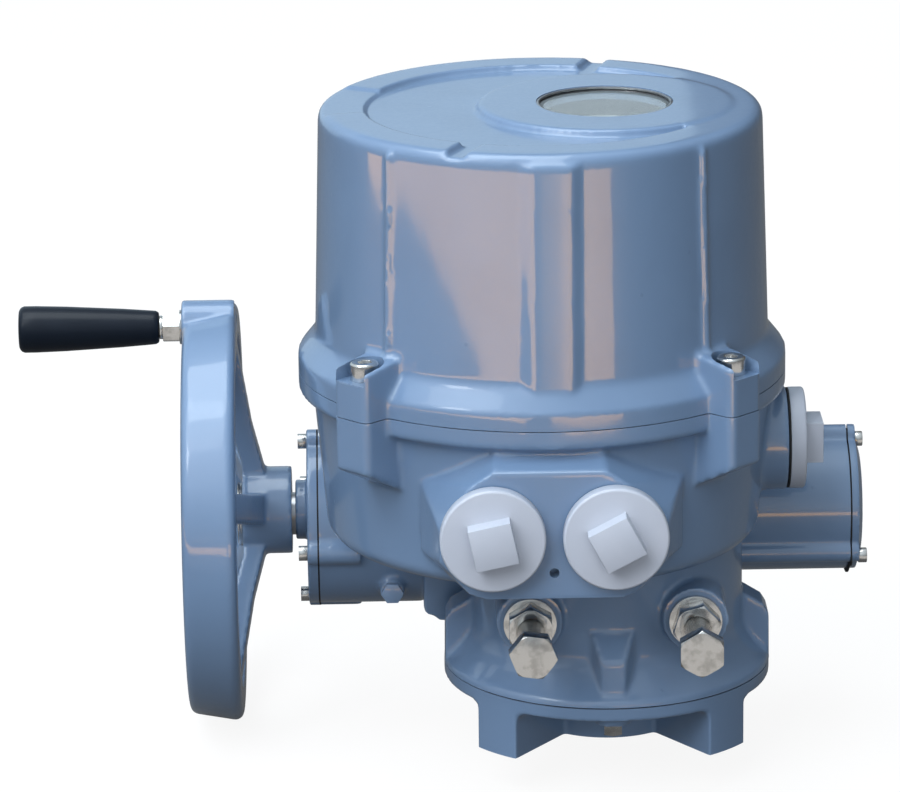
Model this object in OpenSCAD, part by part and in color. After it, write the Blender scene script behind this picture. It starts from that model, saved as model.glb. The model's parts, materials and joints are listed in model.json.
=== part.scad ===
// Quarter-turn electric valve actuator with a side handwheel.
// Frame: X to the right, Y to the back, Z up. The origin is on the output
// axis, in the plane of the four mounting feet.

/* [Base flange and output] */
// Radius of the base disc and of the feet
base_r = 75; // [74:0.5:78]
// Height of the feet's arches above the mounting plane
arch_z = 21.8; // [18:0.2:23]
// Height of the joint between base flange and gear housing
base_seam_z = 28.5; // [27:0.5:29.5]
// Half of the angle that one foot spans
foot_half_angle = 9.1; // [8.5:0.1:11]
// Outer radius of the centre ring of the base flange
base_ring_r = 35; // [33:0.5:38]
// Pitch circle of the valve bolts (flange size F12)
valve_pcd = 125; // [124:0.5:126]
// Diameter of the valve bolt holes (M12)
valve_hole_d = 12; // [10:0.5:12]
// Radius of the output bore for the valve stem
stem_bore_r = 14; // [10:0.5:15]
// Depth of the output bore, from the mounting plane
stem_bore_top_z = 58; // [45:1:60]

/* [Gear housing] */
// Radius of the neck around the worm wheel
neck_r = 62.5; // [61:0.5:64]
// Height of the lip of the housing foot
lip_z = 31.4; // [30.5:0.1:33]
// Height where the neck meets the sloping foot
foot_slope_z = 48; // [42:1:52]
// Distance of the bowl axis to the left of the output axis
bowl_offset = 29; // [27:0.5:31]
// Height of the flat underside of the bowl
bowl_bottom_z = 92; // [91.5:0.1:93]
// Outer radius of the bowl wall at its foot
bowl_foot_r = 99; // [98:0.5:101]
// Outer radius of the bowl wall under its rim
bowl_top_r = 104; // [103:0.5:105]
// Thickness of the bowl wall
wall = 5; // [4:0.5:6]

/* [Top cover] */
// Height of the joint between bowl and cover
seam_z = 168.9; // [168:0.1:170]
// How far the two rims at the joint stand out from the bowl wall
rim_proud = 6.7; // [6:0.1:8]
// Height of the sharp edge on the cover's rim
cover_rim_z = 177.2; // [176:0.2:178]
// Height where the sloping rim meets the cover wall
cover_foot_z = 187; // [186:0.5:188]
// How much smaller the cover wall's radius is at its foot than that of the bowl wall
cover_step = 1.3; // [0:0.1:3]
// How much smaller the cover wall's radius is under its top than at its foot
cover_taper = 2.9; // [1:0.1:5]
// Height of the cover's top ring
cover_top_z = 290; // [288:1:292]
// Radius of the round recess in the cover's top
recess_r = 79; // [76:1:82]
// Depth of that recess
recess_depth = 2.6; // [1.5:0.1:3]
// Radius of the raised pad around the sight glass
pad_r = 57; // [54:1:60]
// How far the cover screws stand outside the rims
screw_out = 3.1; // [2:0.1:4]
// Height of the seats of the cover screws
screw_seat_z = 185.8; // [184:0.2:187]

/* [Worm drive] */
// Gear module of worm and worm wheel
gear_module = 3; // [3:0.5:3]
// Teeth of the worm wheel, which is also the ratio of the drive
wheel_teeth = 32; // [32:1:32]
// Pitch radius of the worm
worm_pitch_r = 14; // [14:0.5:14]
// Height of the worm axis
worm_z = 79.5; // [79:0.1:80]
// Face width of the worm wheel
wheel_face = 14; // [12:0.5:14]
// Length of the threaded part of the worm
worm_len = 48; // [40:1:60]

/* [Gear case and handwheel] */
// Radius of the gear case on the left
case_r = 40; // [39:0.5:41]
// How far the gear case's round lies below the worm axis
case_drop = 2.3; // [1.5:0.1:2.5]
// Distance from the output axis to the face of the gear case
case_end = 132.2; // [131:0.1:133]
// Outer radius of the handwheel
wheel_r = 98.5; // [97:0.5:101]
// Width of the handwheel's rim
rim_w = 25; // [23:0.5:27]
// Distance from the output axis to the near face of the rim
rim_near = 169; // [168:0.5:170]
// Number of spokes
spokes = 5; // [5:1:5]
// Distance of the grip from the handwheel's axis
grip_offset = 92; // [90:0.5:93]
// Length of the turning grip
grip_len = 65; // [60:1:68]

/* [Motor] */
// Outer radius of the motor housing
motor_r = 32; // [31.5:0.1:33]
// Distance from the output axis to the end face of the motor housing
motor_end = 115.6; // [115:0.1:116.5]
// Radius of the bore for the stator
stator_r = 28; // [27:0.5:28]

/* [Cable entries] */
// Radius of the disc of a cable plug
plug_r = 23.2; // [22.5:0.1:23.5]
// Half of the distance between the two front plugs
plug_half = 26.9; // [26.5:0.1:28]
// Height of the two front plugs
plug_z = 123.7; // [123:0.1:125]
// How far the front pad's face stands in front of the bowl wall under its rim
pad_proud = 12; // [11:0.5:13]
// Height of the plug on the right
side_plug_z = 131.7; // [130:0.1:133]
// How far the right boss's face stands in front of the bowl wall under its rim
side_proud = 7.6; // [7:0.1:10]

/* [Travel stops] */
// Distance of each stop bolt from the middle
stop_x = 37.2; // [36:0.1:38]
// Height of the stop bolts
stop_z = 66; // [65.5:0.1:66]
// Distance of the bolt heads' faces in front of the output axis
stop_head = 111.8; // [108:0.1:114]
// Distance from the output axis to the flats of the stop cam
stop_flat = 25; // [24.5:0.1:25]

/* [Hidden] */
$fn = 64;

paint = [0.42, 0.52, 0.64];
steel = [0.75, 0.76, 0.76];
dark_steel = [0.45, 0.46, 0.48];
plug_grey = [0.78, 0.79, 0.82];
black = [0.06, 0.06, 0.07];
bronze = [0.72, 0.53, 0.28];
rubber = [0.12, 0.12, 0.12];
copper = [0.72, 0.38, 0.2];

bx = -bowl_offset;
eps = 0.01;
fit = 0.03;
rim_r = bowl_top_r + rim_proud;
screw_circle_r = rim_r + screw_out;
cover_foot_r = bowl_top_r - cover_step;
cover_top_r = cover_foot_r - cover_taper;
pad_face = bowl_top_r + pad_proud;
side_face = bx + bowl_top_r + side_proud;
pad_x = bx + 1.1;

// Worm drive
wheel_pitch_r = gear_module * wheel_teeth / 2;
wheel_tip_r = wheel_pitch_r + gear_module;
worm_tip_r = worm_pitch_r + gear_module;
worm_root_r = worm_pitch_r - 1.25 * gear_module;
worm_lead = PI * gear_module;
worm_y = wheel_pitch_r + worm_pitch_r;
worm_thread = 3.6;
wheel_tooth = 3.9;
flank_slope = tan(20);
rim_bore_r = 36;
worm_slices_per_turn = 14;

// Gear housing
chamber_r = 55;
chamber_top_z = 91;
floor_z = 98;
tunnel_bore_r = 17.5;
tunnel_r = 24;
case_inner_end = 84;
case_recess_r = 30;
case_recess = 8.4;
case_z = worm_z - case_drop;
case_screw_r = case_r - 0.5;
case_screw_turn = 7;
case_ear_r = 5.5;
case_ear_x = -113;
worm_bearing_w = 10;
bearing_left_x = -98;
bearing_right_x = 40;
rotor_wall_x = 52;
stator_bore_x = 62;
motor_screw_r = motor_r + 0.3;
motor_ear_r = 5;
web_front_y = 22;
earth_z = 106.5;
grease_x = -98.5;
grease_y = 24;
grease_z = 52.4;
grease_r = 3.5;
rotor_bearing_r = 11;
seal_groove_r = bowl_top_r - 1;
plug_thread_r = 16;
lower_bush_r = 26;

// Screws: thread radius, head radius, head height
m8 = 4;
m8_head_r = 6.5;
m8_head = 8;
m12 = 6;
m5 = 2.5;
m4 = 2;

// Window
window_r = 30.8;
window_in_r = 27;
ring_w = 1.5;
glass_t = 3;
window_seal_t = 0.8;
pad_top_z = cover_top_z + 0.8;
cover_in_z = cover_top_z - 7;
glass_top_z = pad_top_z - 1.3;
window_seat_z = glass_top_z - glass_t - window_seal_t;

// Helpers
// Cylinder along X from x0 to x1
module bar_x(x0, x1, r, y = 0, z = 0) {
    translate([x0, y, z]) rotate([0, 90, 0]) cylinder(h = x1 - x0, r = r);
}

// Cylinder along Y from y0 to y1
module bar_y(y0, y1, r, x = 0, z = 0) {
    translate([x, y1, z]) rotate([90, 0, 0]) cylinder(h = y1 - y0, r = r);
}

// Cylinder along Z from z0 to z1
module bar_z(z0, z1, r, x = 0, y = 0) {
    translate([x, y, z0]) cylinder(h = z1 - z0, r = r);
}

// Tube along X
module tube_x(x0, x1, r, bore, y = 0, z = 0) {
    difference() {
        bar_x(x0, x1, r, y, z);
        bar_x(x0 - 1, x1 + 1, bore, y, z);
    }
}

// Tube along Z
module tube_z(z0, z1, r, bore, x = 0, y = 0) {
    difference() {
        bar_z(z0, z1, r, x, y);
        bar_z(z0 - 1, z1 + 1, bore, x, y);
    }
}

// Hexagonal prism along Z with the width w across its flats
module hex_z(z0, z1, w) {
    translate([0, 0, z0]) cylinder(h = z1 - z0, r = w / sqrt(3), $fn = 6);
}

// Points of an arc in a flat profile
function arc(cx, cy, r, a0, a1, n = 6) =
    [for (i = [0:n]) let (a = a0 + (a1 - a0) * i / n) [cx + r * cos(a), cy + r * sin(a)]];

// Places of things on a circle about the bowl axis
module around_bowl(r, angles) {
    for (a = angles) translate([bx, 0, 0]) rotate([0, 0, a]) translate([r, 0, 0]) children();
}

lug_angles = [45, 135, 225, 315];
base_bolt_angles = [0, 90, 180, 270];
base_bolt_r = 62;

// Gear housing
module bowl_outside() {
    fillet = 8;
    translate([bx, 0, 0]) rotate_extrude($fn = 128) polygon(concat(
        [[0, bowl_bottom_z]],
        arc(bowl_foot_r - fillet, bowl_bottom_z + fillet, fillet, -90, 0),
        [[bowl_top_r, seam_z - 11], [rim_r, seam_z - 7.6], [rim_r, seam_z], [0, seam_z]]));
}

module bowl_cavity() {
    fillet = 5;
    inner = bowl_foot_r - wall;
    translate([bx, 0, 0]) rotate_extrude($fn = 128) polygon(concat(
        [[0, floor_z]],
        arc(inner - fillet, floor_z + fillet, fillet, -90, 0),
        [[bowl_top_r - wall, seam_z - 10], [bowl_top_r - wall, seam_z + 1], [0, seam_z + 1]]));
}

// Lug under or around one cover screw, with the given outline of its side
lug_out = 9.7;
lug_in = 18;
lug_half = 10.3;

module lug(side) {
    corner = 3;
    intersection() {
        rotate([90, 0, 0]) translate([0, 0, -lug_half - 1]) linear_extrude(2 * lug_half + 2) polygon(side);
        linear_extrude(seam_z + 60) polygon(concat([[-lug_in - 1, -lug_half]],
            arc(lug_out - corner, corner - lug_half, corner, -90, 0),
            arc(lug_out - corner, lug_half - corner, corner, 0, 90),
            [[-lug_in - 1, lug_half]]));
    }
}

// Slanted lug under each cover screw
module body_lugs() {
    around_bowl(screw_circle_r, lug_angles)
        lug([[-lug_in, seam_z], [lug_out + 1, seam_z], [lug_out + 1, seam_z - 23.6], [-lug_in, seam_z - 38]]);
}

// Thickened pad on the front for the two cable entries
module front_pad() {
    pad_in = bowl_foot_r - 15;
    mid = pad_x;
    hull() {
        translate([mid, -pad_face + 1, 0]) rotate([90, 0, 0]) linear_extrude(1)
            polygon([[-26.5, 152.5], [23, 152.5], [32, 146.5], [49.5, 126], [49.5, 112],
                [36, 97], [29.5, 94.5], [-29.5, 94.5], [-37, 97], [-50, 112], [-50, 126], [-36, 146.5]]);
        translate([mid, -pad_in, 0]) rotate([90, 0, 0]) linear_extrude(1)
            polygon([[-24, 164], [22, 164], [58, 140], [58, 108], [40, 93.2], [-40, 93.2], [-58, 108], [-58, 140]]);
    }
}

// Lug of the neck over a base bolt, wide on the left and right side
module side_lug(a) {
    rotate([0, 0, a]) rotate([90, 0, 0]) translate([0, 0, -9.5]) linear_extrude(19)
        polygon([[54, 60], [63, 60], [72, 54.5], [74.5, 50], [74.8, base_seam_z], [54, base_seam_z]]);
}

// Lug of the neck over a base bolt in front and at the back, which narrows outwards
module tapered_lug(a) {
    rotate([0, 0, a]) intersection() {
        rotate([90, 0, 0]) translate([0, 0, -15]) linear_extrude(30)
            polygon([[54, 59.8], [neck_r + 0.4, 59.8], [70.8, 48.8], [72.3, 34], [72.3, base_seam_z], [54, base_seam_z]]);
        linear_extrude(70) polygon([[50, -11.5], [neck_r, -9.8], [75, -3.4], [75, 3.4], [neck_r, 9.8], [50, 11.5]]);
    }
}

module housing_outside() {
    bowl_outside();
    body_lugs();
    front_pad();
    rotate_extrude($fn = 128) polygon([[0, base_seam_z], [base_r, base_seam_z],
        [base_r, lip_z - 0.8], [base_r - 0.8, lip_z], [base_r - 3, lip_z + 1.8], [67.5, 38], [64, 43],
        [neck_r, foot_slope_z], [neck_r, floor_z - 1], [0, floor_z - 1]]);
    for (a = [0, 180]) side_lug(a);
    for (a = [90, 270]) tapered_lug(a);
    // Bosses of the stop bolts
    for (s = [-1, 1]) bar_y(-64, -30, 15, s * stop_x, stop_z);
    // Round boss of the right cable entry
    bar_x(50, side_face, 23.6, 0, side_plug_z);
    // Gear case, worm tunnel and motor housing on one axis
    bar_x(-case_end - 1, -case_inner_end, case_r, worm_y, case_z);
    bar_x(-case_inner_end - 1, 55, tunnel_r, worm_y, worm_z);
    bar_x(44, motor_end + 1, motor_r, worm_y, worm_z);
    for (i = [0:3]) case_ear(i, -case_end - 1, case_ear_x);
    for (i = [0:2]) motor_ear(i, 50, motor_end + 1);
    // Web between the neck and the gear case
    translate([0, worm_y, 0]) rotate([90, 0, 0]) linear_extrude(worm_y - web_front_y)
        polygon([[-84, 66], [-84, 43.6], [-82.4, 41.8], [-79, 40.4], [-76.5, 38.2], [-54, 38.2], [-54, 66]]);
    // Boss of the grease plug
    bar_y(grease_y, 50, 5.8, grease_x, grease_z);
}

// Ear of the gear case around one of its four screws
module case_ear(i, x0, x1) {
    translate([0, worm_y, case_z]) rotate([case_screw_turn + 90 * i, 0, 0])
        bar_x(x0, x1, case_ear_r, 0, case_screw_r);
}

// Rib of the motor housing around one of its three screws
module motor_ear(i, x0, x1) {
    translate([0, worm_y, worm_z]) rotate([120 * i, 0, 0])
        bar_x(x0, x1, motor_ear_r, 0, motor_screw_r);
}

module gear_housing() {
    color(paint) difference() {
        union() {
            difference() {
                housing_outside();
                bowl_cavity();
            }
            intersection() {
                bar_x(-112, 58, 22, worm_y, worm_z);
                bar_z(floor_z - 4, 140, bowl_foot_r - 2, bx, 0);
            }
        }
        // Worm wheel chamber and the hole for the upper bush
        bar_z(base_seam_z - 1, chamber_top_z, chamber_r);
        bar_z(chamber_top_z - 1, floor_z + 8, 18);
        // Machined end faces of the gear case and the motor housing
        bar_x(-case_end - 5, -case_end, case_r + 20, worm_y, worm_z);
        bar_x(motor_end, motor_end + 5, motor_r + 20, worm_y, worm_z);
        // Worm tunnel, gear case recess and motor bore
        bar_x(-case_end - 1, rotor_wall_x, tunnel_bore_r, worm_y, worm_z);
        bar_x(-case_end - 1, -case_end + case_recess, case_recess_r, worm_y, worm_z);
        bar_x(rotor_wall_x - 1, stator_bore_x + 1, rotor_bearing_r, worm_y, worm_z);
        bar_x(stator_bore_x, motor_end + 1, stator_r, worm_y, worm_z);
        // Threaded holes
        around_bowl(screw_circle_r, lug_angles) bar_z(seam_z - 22, seam_z + 1, m8);
        for (a = base_bolt_angles) rotate([0, 0, a]) bar_z(base_seam_z - 1, 46, m5, base_bolt_r);
        for (s = [-1, 1]) bar_y(-70, -30, m12, s * stop_x, stop_z);
        case_screw_holes(-case_end - 1, -case_end + 14, m4);
        motor_screw_holes(motor_end - 14, motor_end + 1, m4);
        // Cable entries and the small earth hole between them
        for (s = [-1, 1]) bar_y(-pad_face - 1, -80, plug_thread_r, pad_x + s * plug_half, plug_z);
        bar_x(60, side_face + 1, plug_thread_r, 0, side_plug_z);
        bar_y(-pad_face - 1, -pad_face + 8, 2.2, pad_x, earth_z);
        // Threaded hole of the grease plug
        bar_y(grease_y - 4, grease_y + 10, grease_r, grease_x, grease_z);
        // Groove of the cover seal
        translate([bx, 0, 0]) tube_z(seam_z - 2, seam_z + 1, seal_groove_r + 1.6, seal_groove_r - 1.6);
        // Threaded holes of the plate posts
        for (p = plate_post_places) bar_z(floor_z - 6, floor_z + 1, m4, p[0], p[1]);
    }
}

// Base flange
module foot_shape() {
    half = tan(foot_half_angle);
    polygon([[30, -30 * half], [90, -90 * half], [90, 90 * half], [30, 30 * half]]);
}

// Rounded upper corners of the arches, beside each foot
module arch_corner(side) {
    fillet = 5;
    rotate([0, 0, side * foot_half_angle]) rotate([90, 0, 90]) translate([0, 0, base_ring_r - 2])
        linear_extrude(base_r - base_ring_r + 6) polygon(concat(
            [[-side, arch_z + 2], [-side, arch_z - fillet]],
            [for (p = arc(fillet, arch_z - fillet + 0.1, fillet, 180, 92)) [side * p[0], p[1]]],
            [[side * fillet, arch_z + 2]]));
}

module base_flange() {
    color(paint) difference() {
        intersection() {
            union() {
                bar_z(arch_z, base_seam_z - 0.6, base_r + 2);
                bar_z(0, arch_z + 1, base_ring_r);
                for (a = lug_angles) rotate([0, 0, a]) {
                    linear_extrude(arch_z + 1) foot_shape();
                    for (side = [-1, 1]) arch_corner(side);
                }
                for (a = base_bolt_angles) rotate([0, 0, a]) bar_z(18, arch_z + 1, 9, base_bolt_r);
            }
            bar_z(-1, base_seam_z, base_r);
        }
        bar_z(-1, base_seam_z + 1, lower_bush_r);
        for (a = base_bolt_angles) rotate([0, 0, a]) bar_z(0, base_seam_z + 1, m5 + 0.25, base_bolt_r);
        for (a = lug_angles) rotate([0, 0, a]) bar_z(-1, 22, valve_hole_d / 2, valve_pcd / 2);
    }
}

module base_gasket() {
    color(rubber) difference() {
        bar_z(base_seam_z - 0.6, base_seam_z, base_r - 0.6);
        bar_z(0, 40, 56.5);
        for (a = base_bolt_angles) rotate([0, 0, a]) bar_z(0, 40, m5 + 0.25, base_bolt_r);
    }
}

module base_bolts() {
    color(steel) for (a = base_bolt_angles) rotate([0, 0, a]) translate([base_bolt_r, 0, 0]) {
        bar_z(15, 42, m5 - fit);
        bar_z(16.4, 18, 5);
        hex_z(12, 16.4, 8);
    }
}

// Top cover
module cover_outside() {
    fillet = 5;
    slope = (cover_foot_r - cover_top_r) / (cover_top_z - fillet - cover_foot_z);
    translate([bx, 0, 0]) rotate_extrude($fn = 128) polygon(concat(
        [[0, seam_z], [rim_r, seam_z], [rim_r, cover_rim_z], [cover_foot_r + 0.9, cover_foot_z - 1], [cover_foot_r, cover_foot_z + 1]],
        arc(cover_top_r - fillet, cover_top_z - fillet, fillet, 0, 90),
        [[0, cover_top_z]]));
}

module cover_cavity() {
    fillet = 6;
    inner = cover_top_r - wall;
    translate([bx, 0, 0]) rotate_extrude($fn = 128) polygon(concat(
        [[0, seam_z - 1], [cover_foot_r - 4.2, seam_z - 1], [cover_foot_r - wall + 0.3, cover_foot_z]],
        arc(inner - fillet, cover_in_z - fillet, fillet, 0, 90),
        [[0, cover_in_z]]));
}

// Lug of the cover around one screw, open to the outside above the seat
module cover_lug() {
    lug_top = screw_seat_z + 5.2;
    lug([[-lug_in, seam_z], [lug_out + 1, seam_z], [lug_out + 1, lug_top], [-5, lug_top + 2.6],
        [-lug_in, lug_top + 3.4]]);
}

// Upright pads and ribs on the cover wall
module cover_ribs() {
    rib_top_z = cover_top_z - 2.5;
    translate([bx + 1, 0, 0]) rotate([90, 0, 0]) translate([0, 0, cover_top_r - 10]) linear_extrude(15)
        polygon([[-10.5, cover_foot_z - 4], [10.5, cover_foot_z - 4], [9.7, rib_top_z - 6], [-9.7, rib_top_z - 6]]);
    for (a = [227, 313, 47, 133]) translate([bx, 0, 0]) rotate([0, 0, a])
        translate([cover_top_r - 10, -1.6, cover_foot_z - 3]) cube([15, 3.2, rib_top_z - cover_foot_z - 6]);
}

module top_cover() {
    color(paint) difference() {
        union() {
            difference() {
                union() {
                    cover_outside();
                    intersection() {
                        cover_ribs();
                        translate([bx, 0, cover_foot_z - 5]) cylinder(h = cover_top_z - cover_foot_z + 5, r1 = cover_foot_r + 1.9, r2 = cover_top_r + 1.6);
                    }
                    around_bowl(screw_circle_r, lug_angles) cover_lug();
                }
                // Recess in the top, with its two radial slots and one wide notch
                difference() {
                    union() {
                        bar_z(cover_top_z - recess_depth, cover_top_z + 1, recess_r, bx, 0);
                        translate([bx, 0, 0]) for (a = [72, 246]) rotate([0, 0, a])
                            translate([60, -4.5, cover_top_z - recess_depth]) cube([60, 9, 5]);
                        translate([bx, 0, 0]) rotate([0, 0, 171]) translate([0, 0, cover_top_z - 1.3])
                            linear_extrude(4) polygon([[60, -15], [120, -39], [120, 39], [60, 15]]);
                    }
                    bar_z(cover_in_z, cover_top_z + 2, pad_r);
                }
            }
            bar_z(cover_top_z - recess_depth - 1, pad_top_z, pad_r);
        }
        cover_cavity();
        around_bowl(screw_circle_r, lug_angles) {
            bar_z(seam_z - 1, screw_seat_z + 1, m8 + 0.4);
            bar_z(screw_seat_z, 215, 8.6);
            translate([0, -8.6, screw_seat_z]) cube([30, 17.2, 30]);
        }
        // Seats of the sight glass
        bar_z(cover_in_z - 1, pad_top_z + 1, window_in_r);
        bar_z(window_seat_z, pad_top_z + 1, window_r);
        // Small vent hole in the top
        bar_z(cover_top_z - recess_depth - 2.5, cover_top_z + 1, 1.6, 70.5, 12);
    }
}

module cover_seal() {
    color(rubber) translate([bx, 0, seam_z - 1]) rotate_extrude($fn = 128)
        translate([seal_groove_r, 0]) circle(r = 1, $fn = 24);
}

module cover_screws() {
    color(steel) around_bowl(screw_circle_r, lug_angles) difference() {
        union() {
            bar_z(seam_z - 20, screw_seat_z + 1, m8 - fit);
            bar_z(screw_seat_z, screw_seat_z + m8_head - 0.8, m8_head_r);
            translate([0, 0, screw_seat_z + m8_head - 0.8])
                cylinder(h = 0.8, r1 = m8_head_r, r2 = m8_head_r - 0.8);
        }
        hex_z(screw_seat_z + 4, screw_seat_z + m8_head + 1, 6);
    }
}

module window_seal() {
    color(rubber) tube_z(window_seat_z, window_seat_z + window_seal_t, window_r - 0.4, window_in_r + 0.6);
}

module window_glass() {
    color([0.8, 0.88, 0.9, 0.4]) bar_z(glass_top_z - glass_t, glass_top_z, window_r - 0.4);
}

// Snap ring in the bore that holds the glass down
module window_ring() {
    color(dark_steel) tube_z(glass_top_z, glass_top_z + 1, window_r - fit, window_r - ring_w);
}

// Gear case cover
gasket_t = 0.8;
case_cover_x = -case_end - gasket_t;
case_cover_t = 4.7;
collar_end_x = -143.3;

module case_outline(x0, x1) {
    bar_x(x0, x1, case_r, worm_y, case_z);
    for (i = [0:3]) case_ear(i, x0, x1);
}

module case_screw_holes(x0, x1, r) {
    for (i = [0:3]) translate([0, worm_y, case_z]) rotate([case_screw_turn + 90 * i, 0, 0])
        bar_x(x0, x1, r, 0, case_screw_r);
}

module gear_case_cover() {
    color(paint) difference() {
        union() {
            case_outline(case_cover_x - case_cover_t, case_cover_x);
            bar_x(collar_end_x, case_cover_x, 14, worm_y, worm_z);
            bar_x(case_cover_x - 1, case_cover_x + 7, 19, worm_y, worm_z);
        }
        bar_x(collar_end_x - 1, case_cover_x + 8, 10.5, worm_y, worm_z);
        bar_x(case_cover_x, case_cover_x + 8, 15, worm_y, worm_z);
        case_screw_holes(case_cover_x - 10, case_cover_x + 1, m4 + 0.25);
    }
}

module gear_case_gasket() {
    color(rubber) difference() {
        case_outline(case_cover_x, -case_end);
        bar_x(case_cover_x - 1, -case_end + 1, case_recess_r, worm_y, worm_z);
        case_screw_holes(case_cover_x - 1, -case_end + 1, m4 + 0.25);
    }
}

module gear_case_screws() {
    head_x = case_cover_x - case_cover_t;
    color(steel) for (i = [0:3]) translate([0, worm_y, case_z]) rotate([case_screw_turn + 90 * i, 0, 0])
        translate([0, 0, case_screw_r]) difference() {
            union() {
                bar_x(head_x - 1, -case_end + 12, m4 - fit);
                bar_x(head_x - 4, head_x, small_head_r);
            }
            translate([head_x - 5, 0, 0]) rotate([0, 90, 0]) hex_z(0, 3, 3);
        }
}

module shaft_seal() {
    color(rubber) tube_x(case_cover_x, case_cover_x + 7, 15, 10 + fit, worm_y, worm_z);
}

// Motor
motor_cover_x = motor_end + gasket_t;
motor_cover_t = 5.4;
motor_flange_t = 3.4;
small_head_r = 3.5;
spot_depth = 0.3;
core_x = stator_bore_x + 11;
core_len = 28;
winding_len = 7;

module motor_outline(x0, x1) {
    bar_x(x0, x1, motor_r, worm_y, worm_z);
    for (i = [0:2]) motor_ear(i, x0, x1);
}

module motor_screw_holes(x0, x1, r) {
    for (i = [0:2]) translate([0, worm_y, worm_z]) rotate([120 * i, 0, 0])
        bar_x(x0, x1, r, 0, motor_screw_r);
}

module motor_end_cover() {
    color(paint) difference() {
        union() {
            motor_outline(motor_cover_x, motor_cover_x + motor_flange_t);
            translate([motor_cover_x + motor_flange_t, worm_y, worm_z]) rotate([0, 90, 0])
                cylinder(h = motor_cover_t - motor_flange_t, r1 = motor_r - 1, r2 = motor_r - 7);
        }
        bar_x(motor_cover_x - 1, motor_cover_x + 3, rotor_bearing_r + fit, worm_y, worm_z);
        motor_screw_holes(motor_cover_x - 1, motor_cover_x + 10, m4 + 0.25);
        motor_screw_holes(motor_cover_x + motor_flange_t - spot_depth, motor_cover_x + 10, small_head_r + 0.4);
    }
}

module motor_gasket() {
    color(rubber) difference() {
        motor_outline(motor_end, motor_cover_x);
        bar_x(motor_end - 1, motor_cover_x + 1, stator_r + 0.5, worm_y, worm_z);
        motor_screw_holes(motor_end - 1, motor_cover_x + 1, m4 + 0.25);
    }
}

module motor_screws() {
    head_x = motor_cover_x + motor_flange_t - spot_depth;
    color(steel) for (i = [0:2]) translate([0, worm_y, worm_z]) rotate([120 * i, 0, 0])
        translate([0, 0, motor_screw_r]) difference() {
            union() {
                bar_x(motor_end - 12, head_x + 1, m4 - fit);
                bar_x(head_x, head_x + 4, small_head_r);
            }
            translate([head_x + 2, 0, 0]) rotate([0, 90, 0]) hex_z(0, 3, 3);
        }
}

module motor_stator() {
    color(dark_steel) tube_x(core_x, core_x + core_len, stator_r, 20, worm_y, worm_z);
    color(dark_steel) tube_x(core_x, core_x + core_len, 20 + eps, 16, worm_y, worm_z);
}

module motor_windings() {
    for (x = [core_x - winding_len, core_x + core_len])
        color(copper) tube_x(x, x + winding_len, stator_r - 2, 17, worm_y, worm_z);
}

// Rotor with its shaft and the dog that meets the worm when the drive is engaged
module motor_rotor() {
    color(steel) bar_x(50.6, 119, 4 - fit, worm_y, worm_z);
    color(dark_steel) bar_x(core_x + 1, core_x + core_len - 1, 15.6, worm_y, worm_z);
    color(steel) bar_x(63.5, 109.8, 6, worm_y, worm_z);
}

module ball_bearing(x0, w, r, bore) {
    ring = (r - bore) * 0.24;
    mid = (r + bore) / 2;
    ball = (r - bore) * 0.24;
    difference() {
        union() {
            tube_x(x0, x0 + w, r, r - ring, worm_y, worm_z);
            tube_x(x0, x0 + w, bore + ring, bore, worm_y, worm_z);
            tube_x(x0 + w * 0.4, x0 + w * 0.6, r - ring + eps, bore + ring - eps, worm_y, worm_z);
        }
    }
    for (i = [0:7]) translate([x0 + w / 2, worm_y, worm_z]) rotate([45 * i, 0, 0])
        translate([0, 0, mid]) sphere(r = ball, $fn = 24);
}

module rotor_bearings() {
    color(steel) ball_bearing(54, 7, rotor_bearing_r, 4);
    color(steel) ball_bearing(motor_cover_x - 4, 7, rotor_bearing_r, 4);
}

// Cable plugs
// Plug along Z, with its disc on the plane z = 0
module plug(turn) {
    bar_z(-12, 0.5, plug_thread_r - fit);
    bar_z(0.8, 7.2, plug_r);
    bar_z(0, 1, 18);
    translate([0, 0, 7.2]) cylinder(h = 0.8, r1 = plug_r, r2 = plug_r - 0.8);
    rotate([0, 0, turn]) translate([-9.5, -9.5, 7]) cube([19, 19, 9.4]);
}

module cable_plug_left() {
    color(plug_grey) translate([pad_x - plug_half, -pad_face, plug_z]) rotate([90, 0, 0]) plug(12);
}

module cable_plug_right() {
    color(plug_grey) translate([pad_x + plug_half, -pad_face, plug_z]) rotate([90, 0, 0]) plug(28);
}

module cable_plug_side() {
    color(plug_grey) translate([side_face, 0, side_plug_z]) rotate([90, 0, 90]) plug(0);
}

module plug_seals() {
    color(rubber) for (s = [-1, 1]) translate([pad_x + s * plug_half, -pad_face, plug_z])
        rotate([90, 0, 0]) tube_z(0, 0.8, plug_r - 1.2, 18);
    color(rubber) translate([side_face, 0, side_plug_z]) rotate([0, 90, 0]) tube_z(0, 0.8, plug_r - 0.2, 18);
}

module grease_plug() {
    color(paint) translate([grease_x, grease_y, grease_z]) rotate([90, 0, 0]) {
        hex_z(0, 3.2, 9);
        bar_z(-9, 0.5, grease_r - fit);
    }
}

// Travel stops
module stop_bolt(turn) {
    head = 7.5;
    translate([0, -stop_head, stop_z]) rotate([-90, 0, 0]) {
        rotate([0, 0, turn]) intersection() {
            hex_z(0, head, 19);
            cylinder(h = 20, r1 = 9.9, r2 = 29.9);
        }
        bar_z(head - 1, stop_head - stop_flat - 0.3, m12 - fit);
    }
}

module stop_bolt_left() {
    color(steel) translate([-stop_x, 0, 0]) stop_bolt(8);
}

module stop_bolt_right() {
    color(steel) translate([stop_x, 0, 0]) stop_bolt(30);
}

module stop_washers() {
    color(steel) for (s = [-1, 1]) translate([s * stop_x, -64, stop_z]) rotate([90, 0, 0])
        tube_z(0, 2.5, 12, m12 + 0.3);
}

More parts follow.
